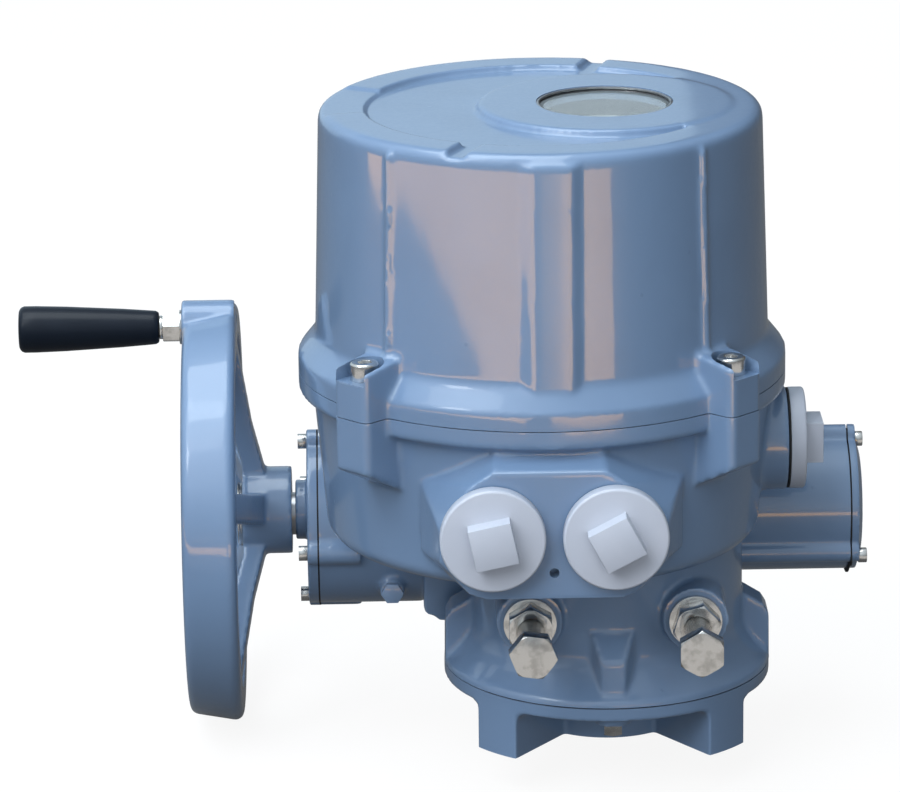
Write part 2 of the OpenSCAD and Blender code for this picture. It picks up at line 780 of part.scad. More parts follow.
module stop_nuts() {
    color(steel) for (s = [-1, 1]) translate([s * stop_x, -66.5, stop_z]) rotate([90, 0, 0])
        difference() {
            rotate([0, 0, 22 - 8 * s]) intersection() {
                hex_z(0, 10, 19);
                translate([0, 0, -10]) cylinder(h = 20, r1 = 29.9, r2 = 9.9);
            }
            bar_z(-1, 11, m12);
        }
}

// Output drive
wheel_low_z = worm_z - wheel_face / 2;
sleeve_r = 22;
sleeve_top_r = 15;

module lower_bush() {
    color(bronze) tube_z(4, base_seam_z - 0.6, lower_bush_r, sleeve_r);
}

module upper_bush() {
    color(bronze) tube_z(chamber_top_z, floor_z, 18, sleeve_top_r);
}

module drive_sleeve() {
    color(steel) difference() {
        union() {
            bar_z(3, wheel_low_z, sleeve_r - fit);
            bar_z(wheel_low_z, wheel_low_z + wheel_face, rim_bore_r);
            bar_z(80, floor_z + 1, sleeve_top_r - fit);
        }
        bar_z(0, stem_bore_top_z, stem_bore_r);
        translate([-4, 0, 0]) cube([8, stem_bore_r + 3.3, stem_bore_top_z]);
        bar_z(88, floor_z + 2, indicator_r);
    }
}

function tooth_points() = let (r0 = wheel_pitch_r - 1.25 * gear_module, r1 = wheel_tip_r,
    root = wheel_tooth + 2 * (wheel_pitch_r - r0) * flank_slope, tip = wheel_tooth - 2 * gear_module * flank_slope)
    [[r0, -deg(root / 2 / r0)], [r1, -deg(tip / 2 / r1)], [r1, deg(tip / 2 / r1)], [r0, deg(root / 2 / r0)]];
function deg(radians) = radians * 180 / PI;

module worm_wheel_rim() {
    helix = deg(wheel_face * worm_lead / (2 * PI * worm_pitch_r) / wheel_pitch_r);
    color(bronze) translate([0, 0, wheel_low_z]) linear_extrude(wheel_face, twist = -helix, slices = 3)
        rotate(-helix / 2) difference() {
            polygon([for (i = [0:wheel_teeth - 1]) for (p = tooth_points())
                let (a = p[1] + i * 360 / wheel_teeth) [p[0] * cos(a), p[0] * sin(a)]]);
            circle(r = rim_bore_r + fit, $fn = 96);
        }
}

// Cam with two flats, 90 degrees apart, that stop on the two bolts
module stop_cam() {
    cam_r = worm_y - worm_tip_r + 1;
    color(dark_steel) difference() {
        intersection() {
            bar_z(stop_z - 5.4, wheel_low_z - 1.3, cam_r);
            translate([-stop_flat, -stop_flat, 0]) cube([120, 120, 120]);
        }
        bar_z(stop_z - 10, stop_z + 10, sleeve_r);
    }
}

disc_z = cover_in_z - 9;
disc_t = 2;
indicator_r = 6;

module indicator_shaft() {
    color(steel) {
        bar_z(88, disc_z - 1, indicator_r - fit);
        bar_z(disc_z - 2, disc_z, 9);
    }
}

module switch_cams() {
    color([0.85, 0.82, 0.7]) for (k = [0, 1]) difference() {
        union() {
            bar_z(140 + 14 * k, 148 + 14 * k, 13);
            rotate([0, 0, 90 * k]) linear_extrude(148 + 14 * k) polygon([[0, 0], [0, -17], [6, -16]]);
        }
        bar_z(0, 140 + 14 * k, 40);
        bar_z(130, 190, indicator_r);
    }
}

module indicator_disc() {
    color([0.85, 0.82, 0.7]) {
        bar_z(disc_z, disc_z + disc_t, window_in_r - 2);
        bar_z(disc_z + disc_t - 1, disc_z + disc_t + 3, 3);
    }
}

// Worm and handwheel
// Cross-section of the one-start worm: a round root with one thread
function worm_section() = let (
    root = worm_thread + 2 * (worm_pitch_r - worm_root_r) * flank_slope,
    tip = worm_thread - 2 * gear_module * flank_slope,
    ar = 180 * root / worm_lead, at = 180 * tip / worm_lead)
    concat([for (a = [-at, 0, at]) [worm_tip_r * cos(a), worm_tip_r * sin(a)]],
        [for (i = [0:6]) let (a = ar + (360 - 2 * ar) * i / 6) [worm_root_r * cos(a), worm_root_r * sin(a)]]);

module worm_shaft() {
    turns = worm_len / worm_lead;
    color(steel) {
        translate([-worm_len / 2, worm_y, worm_z]) rotate([0, 90, 0])
            linear_extrude(worm_len, twist = -360 * turns, slices = ceil(turns * worm_slices_per_turn), $fn = 10)
                rotate(90 - 180 * turns) polygon(worm_section());
        bar_x(bearing_left_x - 1, -worm_len / 2, 8.5 - fit, worm_y, worm_z);
        bar_x(worm_len / 2, bearing_right_x + worm_bearing_w - 0.6, 8.5 - fit, worm_y, worm_z);
        difference() {
            bar_x(hub_far_x, bearing_left_x, hub_bore_r, worm_y, worm_z);
            handwheel_key_shape(key_len);
            bar_x(hub_far_x - 1, hub_far_x + 18, hub_screw_r, worm_y, worm_z);
        }
    }
}

module worm_bearings() {
    color(steel) ball_bearing(bearing_left_x, worm_bearing_w, tunnel_bore_r, 8.5);
    color(steel) ball_bearing(bearing_right_x, worm_bearing_w, tunnel_bore_r, 8.5);
}

hub_w = 23;
hub_far_x = 1 - rim_near;
hub_near_x = hub_far_x + hub_w;
hub_bore_r = 10;
rim_far = rim_near + rim_w;
key_w = 6;
key_len = 20;
key_low = 6.5;
hub_screw_r = 3;
hub_washer_t = 2.5;

module handwheel() {
    corner = 4;
    rim_in = wheel_r - 16;
    color(paint) difference() {
        union() {
            translate([0, worm_y, worm_z]) rotate([0, 90, 0]) rotate_extrude($fn = 128) polygon(concat(
                arc(wheel_r - corner, -rim_near - corner, corner, 0, 90, 4),
                arc(rim_in + corner, -rim_near - corner, corner, 90, 180, 4),
                arc(rim_in + corner, -rim_far + corner, corner, 180, 270, 4),
                arc(wheel_r - corner, -rim_far + corner, corner, 270, 360, 4)));
            bar_x(hub_far_x, hub_near_x, 20.5, worm_y, worm_z);
            for (i = [0:spokes - 1]) translate([0, worm_y, worm_z]) rotate([360 / spokes * i, 0, 0])
                rotate([90, 0, 0]) translate([0, 0, -7]) linear_extrude(14)
                    polygon([[-157, 14], [-158, 22], [-163, 42], [-166.5, 64], [-170, 86], [-184, 86], [-179, 64], [-173, 42], [-168, 24], [-168, 14]]);
            bar_x(-rim_far - 0.6, -rim_near - 1, 10.5, worm_y, worm_z + grip_offset);
        }
        bar_x(hub_far_x - 1, hub_near_x + 1, hub_bore_r + fit, worm_y, worm_z);
        handwheel_key_shape(key_len + 10);
        bar_x(-rim_far - 1, -rim_near, m8, worm_y, worm_z + grip_offset);
    }
}

module handwheel_key_shape(len) {
    translate([hub_far_x + 2, worm_y - key_w / 2, worm_z + key_low]) cube([len, key_w, key_w]);
}

module handwheel_key() {
    color(steel) handwheel_key_shape(key_len);
}

module hub_washer() {
    color(steel) tube_x(hub_far_x - hub_washer_t, hub_far_x, 15, hub_screw_r + 0.3, worm_y, worm_z);
}

module hub_screw() {
    color(steel) {
        bar_x(hub_far_x - hub_washer_t - 1, hub_far_x + 16, hub_screw_r - fit, worm_y, worm_z);
        translate([hub_far_x - hub_washer_t, worm_y, worm_z]) rotate([0, -90, 0]) hex_z(0, 4, 10);
    }
}

grip_near_x = -205.2;
grip_far_x = grip_near_x - grip_len;

module grip_spindle() {
    color(steel) {
        bar_x(grip_far_x + 3, -rim_near - 2, m8 - fit, worm_y, worm_z + grip_offset);
        bar_x(grip_far_x + 3, grip_far_x + 7, 6.6, worm_y, worm_z + grip_offset);
        bar_x(grip_near_x + 0.2, -203.3, 5.5, worm_y, worm_z + grip_offset);
    }
}

module grip_nut() {
    color(steel) translate([-203.3, worm_y, worm_z + grip_offset]) rotate([0, 90, 0]) difference() {
        union() {
            rotate([0, 0, 12]) hex_z(0, 7.7, 13);
            bar_z(7.7, 203.3 - rim_far - 0.6, 8);
        }
        bar_z(-1, 12, m8);
    }
}

module grip() {
    color(black) translate([grip_far_x, worm_y, worm_z + grip_offset]) rotate([0, 90, 0]) difference() {
        rotate_extrude() polygon([[0, 0], [8.8, 0], [10.2, 0.8], [10.85, 2.4], [10.85, 8], [10.4, 22], [9, 48], [8.1, 60], [7.8, 63.5], [7, grip_len], [0, grip_len]]);
        bar_z(-1, grip_len + 1, m8 + 0.05);
        bar_z(-1, 7.3, 7);
    }
}

// Inside parts
plate_z = 124;
plate_t = 2.5;
plate_post_places = [for (a = [30, 150, 270]) [bx + 78 * cos(a), 78 * sin(a)]];
board_post_places = [[-98, -35], [-98, 25], [-60, -35], [-60, 25]];
switch_places = [[22, -9], [22, 9]];

module plate_posts() {
    color(steel) for (p = plate_post_places) {
        bar_z(floor_z, plate_z, 5, p[0], p[1]);
        bar_z(floor_z - 5, floor_z + 1, m4, p[0], p[1]);
        bar_z(plate_z + plate_t, plate_z + 5, 3.8, p[0], p[1]);
        bar_z(plate_z - 1, plate_z + 3, m4, p[0], p[1]);
    }
}

module mounting_plate() {
    color([0.8, 0.8, 0.78]) difference() {
        bar_z(plate_z, plate_z + plate_t, bowl_foot_r - wall - 6, bx, 0);
        bar_z(plate_z - 1, plate_z + 4, 24);
        for (p = plate_post_places) bar_z(plate_z - 1, plate_z + 4, m4, p[0], p[1]);
    }
}

module limit_switches() {
    color(black) for (k = [0, 1]) for (s = [-1, 1]) {
        translate([21, s * 22 - 10, 137 + 14 * k]) cube([20, 20, 12]);
        translate([29, s * 22 - 2, plate_z + plate_t]) cube([4, 4, 30]);
    }
}

module terminal_block() {
    color([0.15, 0.3, 0.2]) difference() {
        translate([-70, -72, plate_z + plate_t]) cube([84, 18, 20]);
        for (i = [0:9]) bar_z(plate_z + 14, plate_z + 30, 2.4, -65.8 + 8.4 * i, -63);
    }
}

module run_capacitor() {
    color([0.85, 0.85, 0.83]) {
        bar_x(-60, 0, 15, 62, plate_z + 19);
        translate([-50, 56, plate_z + plate_t]) cube([40, 12, 8]);
    }
}

module board_posts() {
    color(steel) for (p = board_post_places) bar_z(plate_z + plate_t, plate_z + 26, 3, p[0], p[1]);
}

module circuit_board() {
    color([0.1, 0.4, 0.25]) translate([-104, -42, plate_z + 26]) cube([52, 74, 1.6]);
    color([0.9, 0.9, 0.85]) translate([-98, -26, plate_z + 27.6]) cube([16, 20, 14]);
    color([0.9, 0.9, 0.85]) translate([-98, 2, plate_z + 27.6]) cube([16, 20, 14]);
    color(black) translate([-72, -28, plate_z + 27.6]) cube([12, 30, 3]);
}

module space_heater() {
    color([0.85, 0.75, 0.45]) {
        translate([3, 47, plate_z + plate_t]) cube([29, 13, 3]);
        translate([6, 49.5, plate_z + 5]) cube([23, 8, 12]);
        for (k = [0:3]) translate([7 + 6.2 * k, 47, plate_z + 7]) cube([2.4, 13, 10]);
    }
}

gear_housing();
base_flange();
base_gasket();
base_bolts();
top_cover();
cover_seal();
cover_screws();
window_glass();
window_seal();
window_ring();
gear_case_cover();
gear_case_gasket();
gear_case_screws();
shaft_seal();
motor_end_cover();
motor_gasket();
motor_screws();
motor_stator();
motor_windings();
motor_rotor();
rotor_bearings();
cable_plug_left();
cable_plug_right();
cable_plug_side();
plug_seals();
grease_plug();
stop_bolt_left();
stop_bolt_right();
stop_nuts();
stop_washers();
lower_bush();
upper_bush();
drive_sleeve();
worm_wheel_rim();
stop_cam();
indicator_shaft();
switch_cams();
indicator_disc();
worm_shaft();
worm_bearings();
handwheel();
handwheel_key();
hub_washer();
hub_screw();
grip_spindle();
grip_nut();
grip();
mounting_plate();
plate_posts();
limit_switches();
terminal_block();
run_capacitor();
circuit_board();
board_posts();
space_heater();
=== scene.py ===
"""Looks of a quarter-turn electric valve actuator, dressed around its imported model.

All sizes in this file are millimetres, and MM turns them into Blender's metres.
"""

import json
import logging
import math
from contextlib import contextmanager
from dataclasses import dataclass
from enum import Enum
from typing import Callable, Iterator, Sequence

import bpy
from mathutils import Matrix, Vector

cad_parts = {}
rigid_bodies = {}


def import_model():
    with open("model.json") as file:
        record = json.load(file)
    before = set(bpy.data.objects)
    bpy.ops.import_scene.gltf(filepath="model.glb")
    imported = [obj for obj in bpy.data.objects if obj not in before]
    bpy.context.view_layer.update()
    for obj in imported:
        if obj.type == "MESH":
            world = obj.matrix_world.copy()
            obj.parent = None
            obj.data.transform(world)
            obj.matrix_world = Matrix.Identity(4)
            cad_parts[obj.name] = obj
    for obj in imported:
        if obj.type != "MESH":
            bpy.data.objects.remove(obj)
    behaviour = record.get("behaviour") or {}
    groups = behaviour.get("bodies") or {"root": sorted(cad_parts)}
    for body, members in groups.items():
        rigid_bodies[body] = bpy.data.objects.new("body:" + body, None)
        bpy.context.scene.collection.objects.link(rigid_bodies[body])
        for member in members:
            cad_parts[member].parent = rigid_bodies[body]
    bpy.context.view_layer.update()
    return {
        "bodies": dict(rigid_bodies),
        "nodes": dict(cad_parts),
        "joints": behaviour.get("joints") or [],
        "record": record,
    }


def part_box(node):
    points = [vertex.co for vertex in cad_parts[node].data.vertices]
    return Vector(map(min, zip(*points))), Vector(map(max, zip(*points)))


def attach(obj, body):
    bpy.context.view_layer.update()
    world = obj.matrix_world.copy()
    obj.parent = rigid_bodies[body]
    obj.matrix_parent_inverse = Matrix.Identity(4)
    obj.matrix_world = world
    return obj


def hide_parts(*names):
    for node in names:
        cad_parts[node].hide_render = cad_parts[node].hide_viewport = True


MM = 0.001
Point = tuple[float, float, float]
Outline = Sequence[tuple[float, float]]
Colour = tuple[float, float, float]
Piece = bpy.types.Object
ORIGIN: Point = (0, 0, 0)
SIDES = (-1, 1)
THIRDS = (0, 120, 240)
QUARTERS = (0, 90, 180, 270)
DIAGONALS = (45, 135, 225, 315)
WHITE = (1, 1, 1, 1)
log = logging.getLogger("actuator")


class Axis(Enum):
    """The direction that a bar, plate or turned piece is made along."""

    X = "X"
    Y = "Y"
    Z = "Z"

    @property
    def frame(self) -> Matrix:
        """The matrix that lays a piece made along Z down along this axis."""
        columns = {
            Axis.X: ((0, 0, 1), (1, 0, 0), (0, 1, 0)),
            Axis.Y: ((1, 0, 0), (0, 0, -1), (0, 1, 0)),
            Axis.Z: ((1, 0, 0), (0, 1, 0), (0, 0, 1)),
        }[self]
        return Matrix(columns).to_4x4()


class Slot(Enum):
    """The material slots of the record that the finishes serve."""

    PAINT = "paint"
    PLUG = "plug_plastic"
    ZINC = "zinc_steel"
    MACHINED = "machined_steel"
    BRONZE = "bronze"
    COPPER = "copper"
    RUBBER = "rubber"
    GLASS = "glass"
    BLACK = "black_plastic"
    IVORY = "ivory_plastic"
    ALUMINIUM = "sheet_aluminium"
    GREEN = "green_plastic"


class Channel:
    """One value in a shader, with the arithmetic that the finishes use."""

    def __init__(self, graph: "Graph", socket: bpy.types.NodeSocket) -> None:
        """Wraps a socket.

        Args:
            graph: the node tree that the socket belongs to.
            socket: the output socket that carries the value.
        """
        self.graph = graph
        self.socket = socket

    def _math(self, operation: str, first: object, second: object) -> "Channel":
        """Adds one Math node.

        Args:
            operation: the Math node's operation.
            first: the first operand, a channel or a number.
            second: the second operand, a channel or a number.

        Returns:
            The node's result.
        """
        made = self.graph.node("ShaderNodeMath", {0: first, 1: second}, operation=operation)
        return Channel(self.graph, made.outputs[0])

    def __add__(self, other: object) -> "Channel":
        """This value plus another."""
        return self._math("ADD", self, other)

    def __radd__(self, other: object) -> "Channel":
        """Another value plus this one."""
        return self._math("ADD", other, self)

    def __sub__(self, other: object) -> "Channel":
        """This value less another."""
        return self._math("SUBTRACT", self, other)

    def __rsub__(self, other: object) -> "Channel":
        """Another value less this one."""
        return self._math("SUBTRACT", other, self)

    def __mul__(self, other: object) -> "Channel":
        """This value times another."""
        return self._math("MULTIPLY", self, other)

    def ramp(self, low: float, high: float, start: float, end: float, kind: str = "LINEAR") -> "Channel":
        """Maps this value from one range to another, and no further.

        Args:
            low: the value where the ramp starts.
            high: the value where it ends.
            start: what the ramp gives at its start.
            end: what it gives at its end.
            kind: how it runs between them.

        Returns:
            The mapped value.
        """
        inputs = {"Value": self, "From Min": low, "From Max": high, "To Min": start, "To Max": end}
        made = self.graph.node("ShaderNodeMapRange", inputs, interpolation_type=kind)
        return Channel(self.graph, made.outputs["Result"])

    def above(self, edge: float, width: float) -> "Channel":
        """Rises gently from 0 to 1 as this value passes an edge, over a width."""
        return self.ramp(edge, edge + width, 0, 1, "SMOOTHSTEP")


class Graph:
    """A tree of shader nodes under construction."""

    def __init__(self, tree: bpy.types.NodeTree) -> None:
        """Empties a tree.

        Args:
            tree: the tree of a material or of the world.
        """
        self.tree = tree
        tree.nodes.clear()

    def node(
        self, kind: str, inputs: dict[object, object] | None = None, **settings: object
    ) -> bpy.types.Node:
        """Makes any node.

        Args:
            kind: the node's type.
            inputs: values, channels or sockets by input name or number.
            settings: properties of the node, set before its inputs.

        Returns:
            The new node.
        """
        made = self.tree.nodes.new(kind)
        for key, value in settings.items():
            setattr(made, key, value)
        for key, value in (inputs or {}).items():
            if isinstance(value, Channel):
                value = value.socket
            if isinstance(value, bpy.types.NodeSocket):
                self.tree.links.new(value, made.inputs[key])
            else:
                made.inputs[key].default_value = value
        return made

    def ray(self, kind: str) -> Channel:
        """1 for rays of a kind, such as Camera or Glossy, and 0 for others."""
        return Channel(self, self.node("ShaderNodeLightPath").outputs[f"Is {kind} Ray"])


class Shader(Graph):
    """A node material under construction."""

    def __init__(self, name: str) -> None:
        """Starts an empty material with its surface shader and output.

        Args:
            name: the material's name.
        """
        self.material = bpy.data.materials.new(name)
        self.material.use_nodes = True
        super().__init__(self.material.node_tree)
        self.surface = self.node("ShaderNodeBsdfPrincipled")
        self.output = self.node("ShaderNodeOutputMaterial", {"Surface": self.surface.outputs[0]})
        self.place = self.node("ShaderNodeTexCoord").outputs["Object"]

    def end(self, kind: str, inputs: dict[object, object]) -> None:
        """Puts one more shader before the output.

        Args:
            kind: the shader node's type.
            inputs: its inputs, as for any node.
        """
        self.tree.links.new(self.node(kind, inputs).outputs[0], self.output.inputs["Surface"])

    def feed(self, **inputs: object) -> None:
        """Sets or links inputs of the surface shader.

        Args:
            inputs: values or channels, with underscores for the spaces of the input names.
        """
        for key, value in inputs.items():
            socket = self.surface.inputs[key.replace("_", " ")]
            if isinstance(value, Channel):
                self.tree.links.new(value.socket, socket)
            else:
                socket.default_value = value

    def noise(self, size: float, detail: float = 2.0, stretch: Point = (1, 1, 1)) -> Channel:
        """Cloudy variation.

        Args:
            size: the size of one cloud in millimetres.
            detail: how many finer layers it has.
            stretch: how much denser it is along each axis.

        Returns:
            A value around one half.
        """
        place = self.place
        if stretch != (1, 1, 1):
            place = self.node("ShaderNodeMapping", {"Vector": place, "Scale": stretch}).outputs[0]
        made = self.node("ShaderNodeTexNoise", {"Vector": place, "Scale": 1 / (size * MM), "Detail": detail})
        return Channel(self, made.outputs[0])

    def specks(self, spacing: float, radius: float) -> Channel:
        """Sparse round specks.

        Args:
            spacing: the distance from speck to speck in millimetres.
            radius: the radius of a speck in millimetres.

        Returns:
            1 in a speck and 0 elsewhere.
        """
        made = self.node("ShaderNodeTexVoronoi", {"Vector": self.place, "Scale": 1 / (spacing * MM)})
        return 1 - Channel(self, made.outputs["Distance"]).above(radius / spacing, 0.04)

    def edges(self, start: float = 0.52, width: float = 0.06) -> Channel:
        """Rises towards 1 on the outer edges of a dense mesh.

        Args:
            start: the pointiness at which the rise starts.
            width: how much more pointiness completes it.

        Returns:
            A value from 0 to 1.
        """
        made = self.node("ShaderNodeNewGeometry")
        return Channel(self, made.outputs["Pointiness"]).above(start, width)

    def tint(self, colour: object, other: Colour, amount: Channel) -> Channel:
        """Mixes one colour into another.

        Args:
            colour: the colour to start from, or a channel that carries one.
            other: the colour to mix in.
            amount: how much of it, from 0 to 1.

        Returns:
            The mixed colour.
        """
        base = colour if isinstance(colour, Channel) else (*colour, 1)
        made = self.node("ShaderNodeMix", {"Factor": amount, 6: base, 7: (*other, 1)}, data_type="RGBA")
        return Channel(self, made.outputs[2])

    def relief(self, height: Channel, depth: float, strength: float, under: object = None) -> Channel:
        """Turns a height into a bump of the surface.

        Args:
            height: the height, from 0 to 1.
            depth: the depth of the bump in millimetres.
            strength: how strongly it shows.
            under: another relief that this one lies on.

        Returns:
            The bent normal.
        """
        inputs: dict[object, object] = {"Height": height, "Distance": depth * MM, "Strength": strength}
        if under is not None:
            inputs["Normal"] = under
        return Channel(self, self.node("ShaderNodeBump", inputs).outputs[0])


@dataclass(frozen=True)
class Enamel:
    """Glossy two-coat enamel over a casting, with the slight waves of a sprayed coat."""

    name: str
    colour: Colour
    deep: Colour
    # edge: the paler colour of convex edges, partly thinner paint on the edges and partly a painted highlight
    # along them
    edge: Colour
    roughness: float = 0.34
    coat: float = 0.85
    coat_roughness: float = 0.07

    def material(self) -> bpy.types.Material:
        """Makes the material."""
        shader = Shader(self.name)
        clouds = shader.noise(45, 3)
        grain = shader.noise(1.6, 2)
        nibs = shader.specks(26, 0.35)
        tone = shader.tint(self.colour, self.deep, clouds.above(0.42, 0.3) * 0.5)
        # convex edges lighten towards the edge colour: partly thinner paint, partly a painted highlight
        tone = shader.tint(tone, self.edge, shader.edges() * 0.45)
        tone = shader.tint(tone, self.deep, nibs * 0.6)
        cast = shader.relief(grain, 0.05, 0.25)
        cast = shader.relief(shader.noise(2.6, 2), 0.12, 0.1, cast)
        waves = shader.relief(shader.noise(7, 1), 0.5, 0.16, cast)
        pimples = shader.relief(nibs, 0.2, 0.5, waves)
        shader.feed(
            Base_Color=tone,
            Roughness=self.roughness + (grain - 0.5) * 0.1,
            Coat_Weight=self.coat - nibs * 0.4,
            Coat_Roughness=self.coat_roughness,
            Normal=pimples,
        )
        return shader.material


@dataclass(frozen=True)
class Plated:
    """Bright or dull metal with fine marks from machining and plating."""

    name: str
    colour: Colour
    stain: Colour
    roughness: float
    spread: float = 0.14
    marks: float = 0.2

    def material(self) -> bpy.types.Material:
        """Makes the material."""
        shader = Shader(self.name)
        stains = shader.noise(5, 3)
        scratches = shader.noise(0.5, 2, (1, 1, 6))
        tone = shader.tint(self.colour, self.stain, stains.above(0.45, 0.25) * 0.6)
        shader.feed(
            Base_Color=tone,
            Metallic=1.0,
            Roughness=self.roughness + (stains - 0.5) * self.spread + (scratches - 0.5) * 0.1,
            Normal=shader.relief(scratches, 0.03, self.marks),
        )
        return shader.material


@dataclass(frozen=True)
class Moulded:
    """Moulded plastic or rubber with a fine spark-eroded grain."""

    name: str
    colour: Colour
    worn: Colour
    roughness: float
    grain: float = 0.5
    depth: float = 0.04
    coat: float = 0.0
    gloss: float = 0.5

    def material(self) -> bpy.types.Material:
        """Makes the material."""
        shader = Shader(self.name)
        clouds = shader.noise(14, 3)
        grain = shader.noise(self.grain, 3)
        tone = shader.tint(self.colour, self.worn, clouds.above(0.45, 0.3) * 0.35)
        tone = shader.tint(tone, self.worn, grain.above(0.6, 0.2) * 0.25)
        shader.feed(
            Base_Color=tone,
            Roughness=self.roughness + (clouds - 0.5) * 0.12,
            Coat_Weight=self.coat,
            Coat_Roughness=0.15,
            Specular_IOR_Level=self.gloss,
            Normal=shader.relief(grain, self.depth, 0.3),
        )
        return shader.material


@dataclass(frozen=True)
class SightGlass:
    """Clear pressed glass with faint smears."""

    name: str = "sight_glass"
    colour: Colour = (0.78, 0.85, 0.88)

    def material(self) -> bpy.types.Material:
        """Makes the material."""
        shader = Shader(self.name)
        smears = shader.noise(9, 3)
        shader.feed(
            Base_Color=shader.tint(self.colour, (0.72, 0.79, 0.82), smears.above(0.5, 0.2) * 0.3),
            Roughness=0.03 + smears.above(0.5, 0.3) * 0.05,
            IOR=1.46,
            Transmission_Weight=1.0,
            Normal=shader.relief(shader.noise(20, 1), 0.2, 0.05),
        )
        return shader.material


FINISHES = {
    # the enamel's third colour lightens convex edges: partly thinner paint, partly a painted highlight
    Slot.PAINT: Enamel("blue_grey_enamel", (0.135, 0.215, 0.345), (0.115, 0.185, 0.3), (0.24, 0.34, 0.5)),
    Slot.PLUG: Moulded("light_grey_plastic", (0.43, 0.465, 0.54), (0.48, 0.51, 0.58), 0.42, 0.8, 0.03, 0.15),
    Slot.ZINC: Plated("zinc_plate", (0.7, 0.69, 0.67), (0.4, 0.39, 0.37), 0.22),
    Slot.MACHINED: Plated("machined_steel", (0.5, 0.51, 0.53), (0.36, 0.36, 0.37), 0.32),
    Slot.BRONZE: Plated("machined_bronze", (0.62, 0.4, 0.16), (0.45, 0.27, 0.1), 0.33),
    Slot.COPPER: Plated("lacquered_copper", (0.55, 0.2, 0.07), (0.36, 0.12, 0.04), 0.3),
    Slot.RUBBER: Moulded("black_rubber", (0.014, 0.014, 0.015), (0.03, 0.03, 0.03), 0.75, 0.4),
    Slot.GLASS: SightGlass(),
    Slot.BLACK: Moulded(
        "black_phenolic", (0.004, 0.007, 0.013), (0.006, 0.01, 0.018), 0.36, 1.4, 0.02, 0.1, 0.2
    ),
    Slot.IVORY: Moulded("ivory_plastic", (0.5, 0.49, 0.46), (0.42, 0.41, 0.38), 0.5),
    Slot.ALUMINIUM: Plated("sheet_aluminium", (0.7, 0.7, 0.69), (0.55, 0.55, 0.54), 0.36),
    Slot.GREEN: Moulded("green_plastic", (0.02, 0.11, 0.05), (0.03, 0.14, 0.07), 0.45),
}


class Paintbox:
    """Gives each slot's material, made once."""

    def __init__(self) -> None:
        """Starts with no material made."""
        self._made: dict[Slot, bpy.types.Material] = {}

    def of(self, slot: Slot) -> bpy.types.Material:
        """The material of a slot."""
        if slot not in self._made:
            self._made[slot] = FINISHES[slot].material()
        return self._made[slot]

    def dress(self, piece: Piece, slot: Slot) -> None:
        """Puts a slot's material on a piece.

        Args:
            piece: the mesh object.
            slot: the slot whose finish it takes.
        """
        if piece.material_slots:
            for place in piece.material_slots:
                place.material = self.of(slot)
        else:
            piece.data.materials.append(self.of(slot))


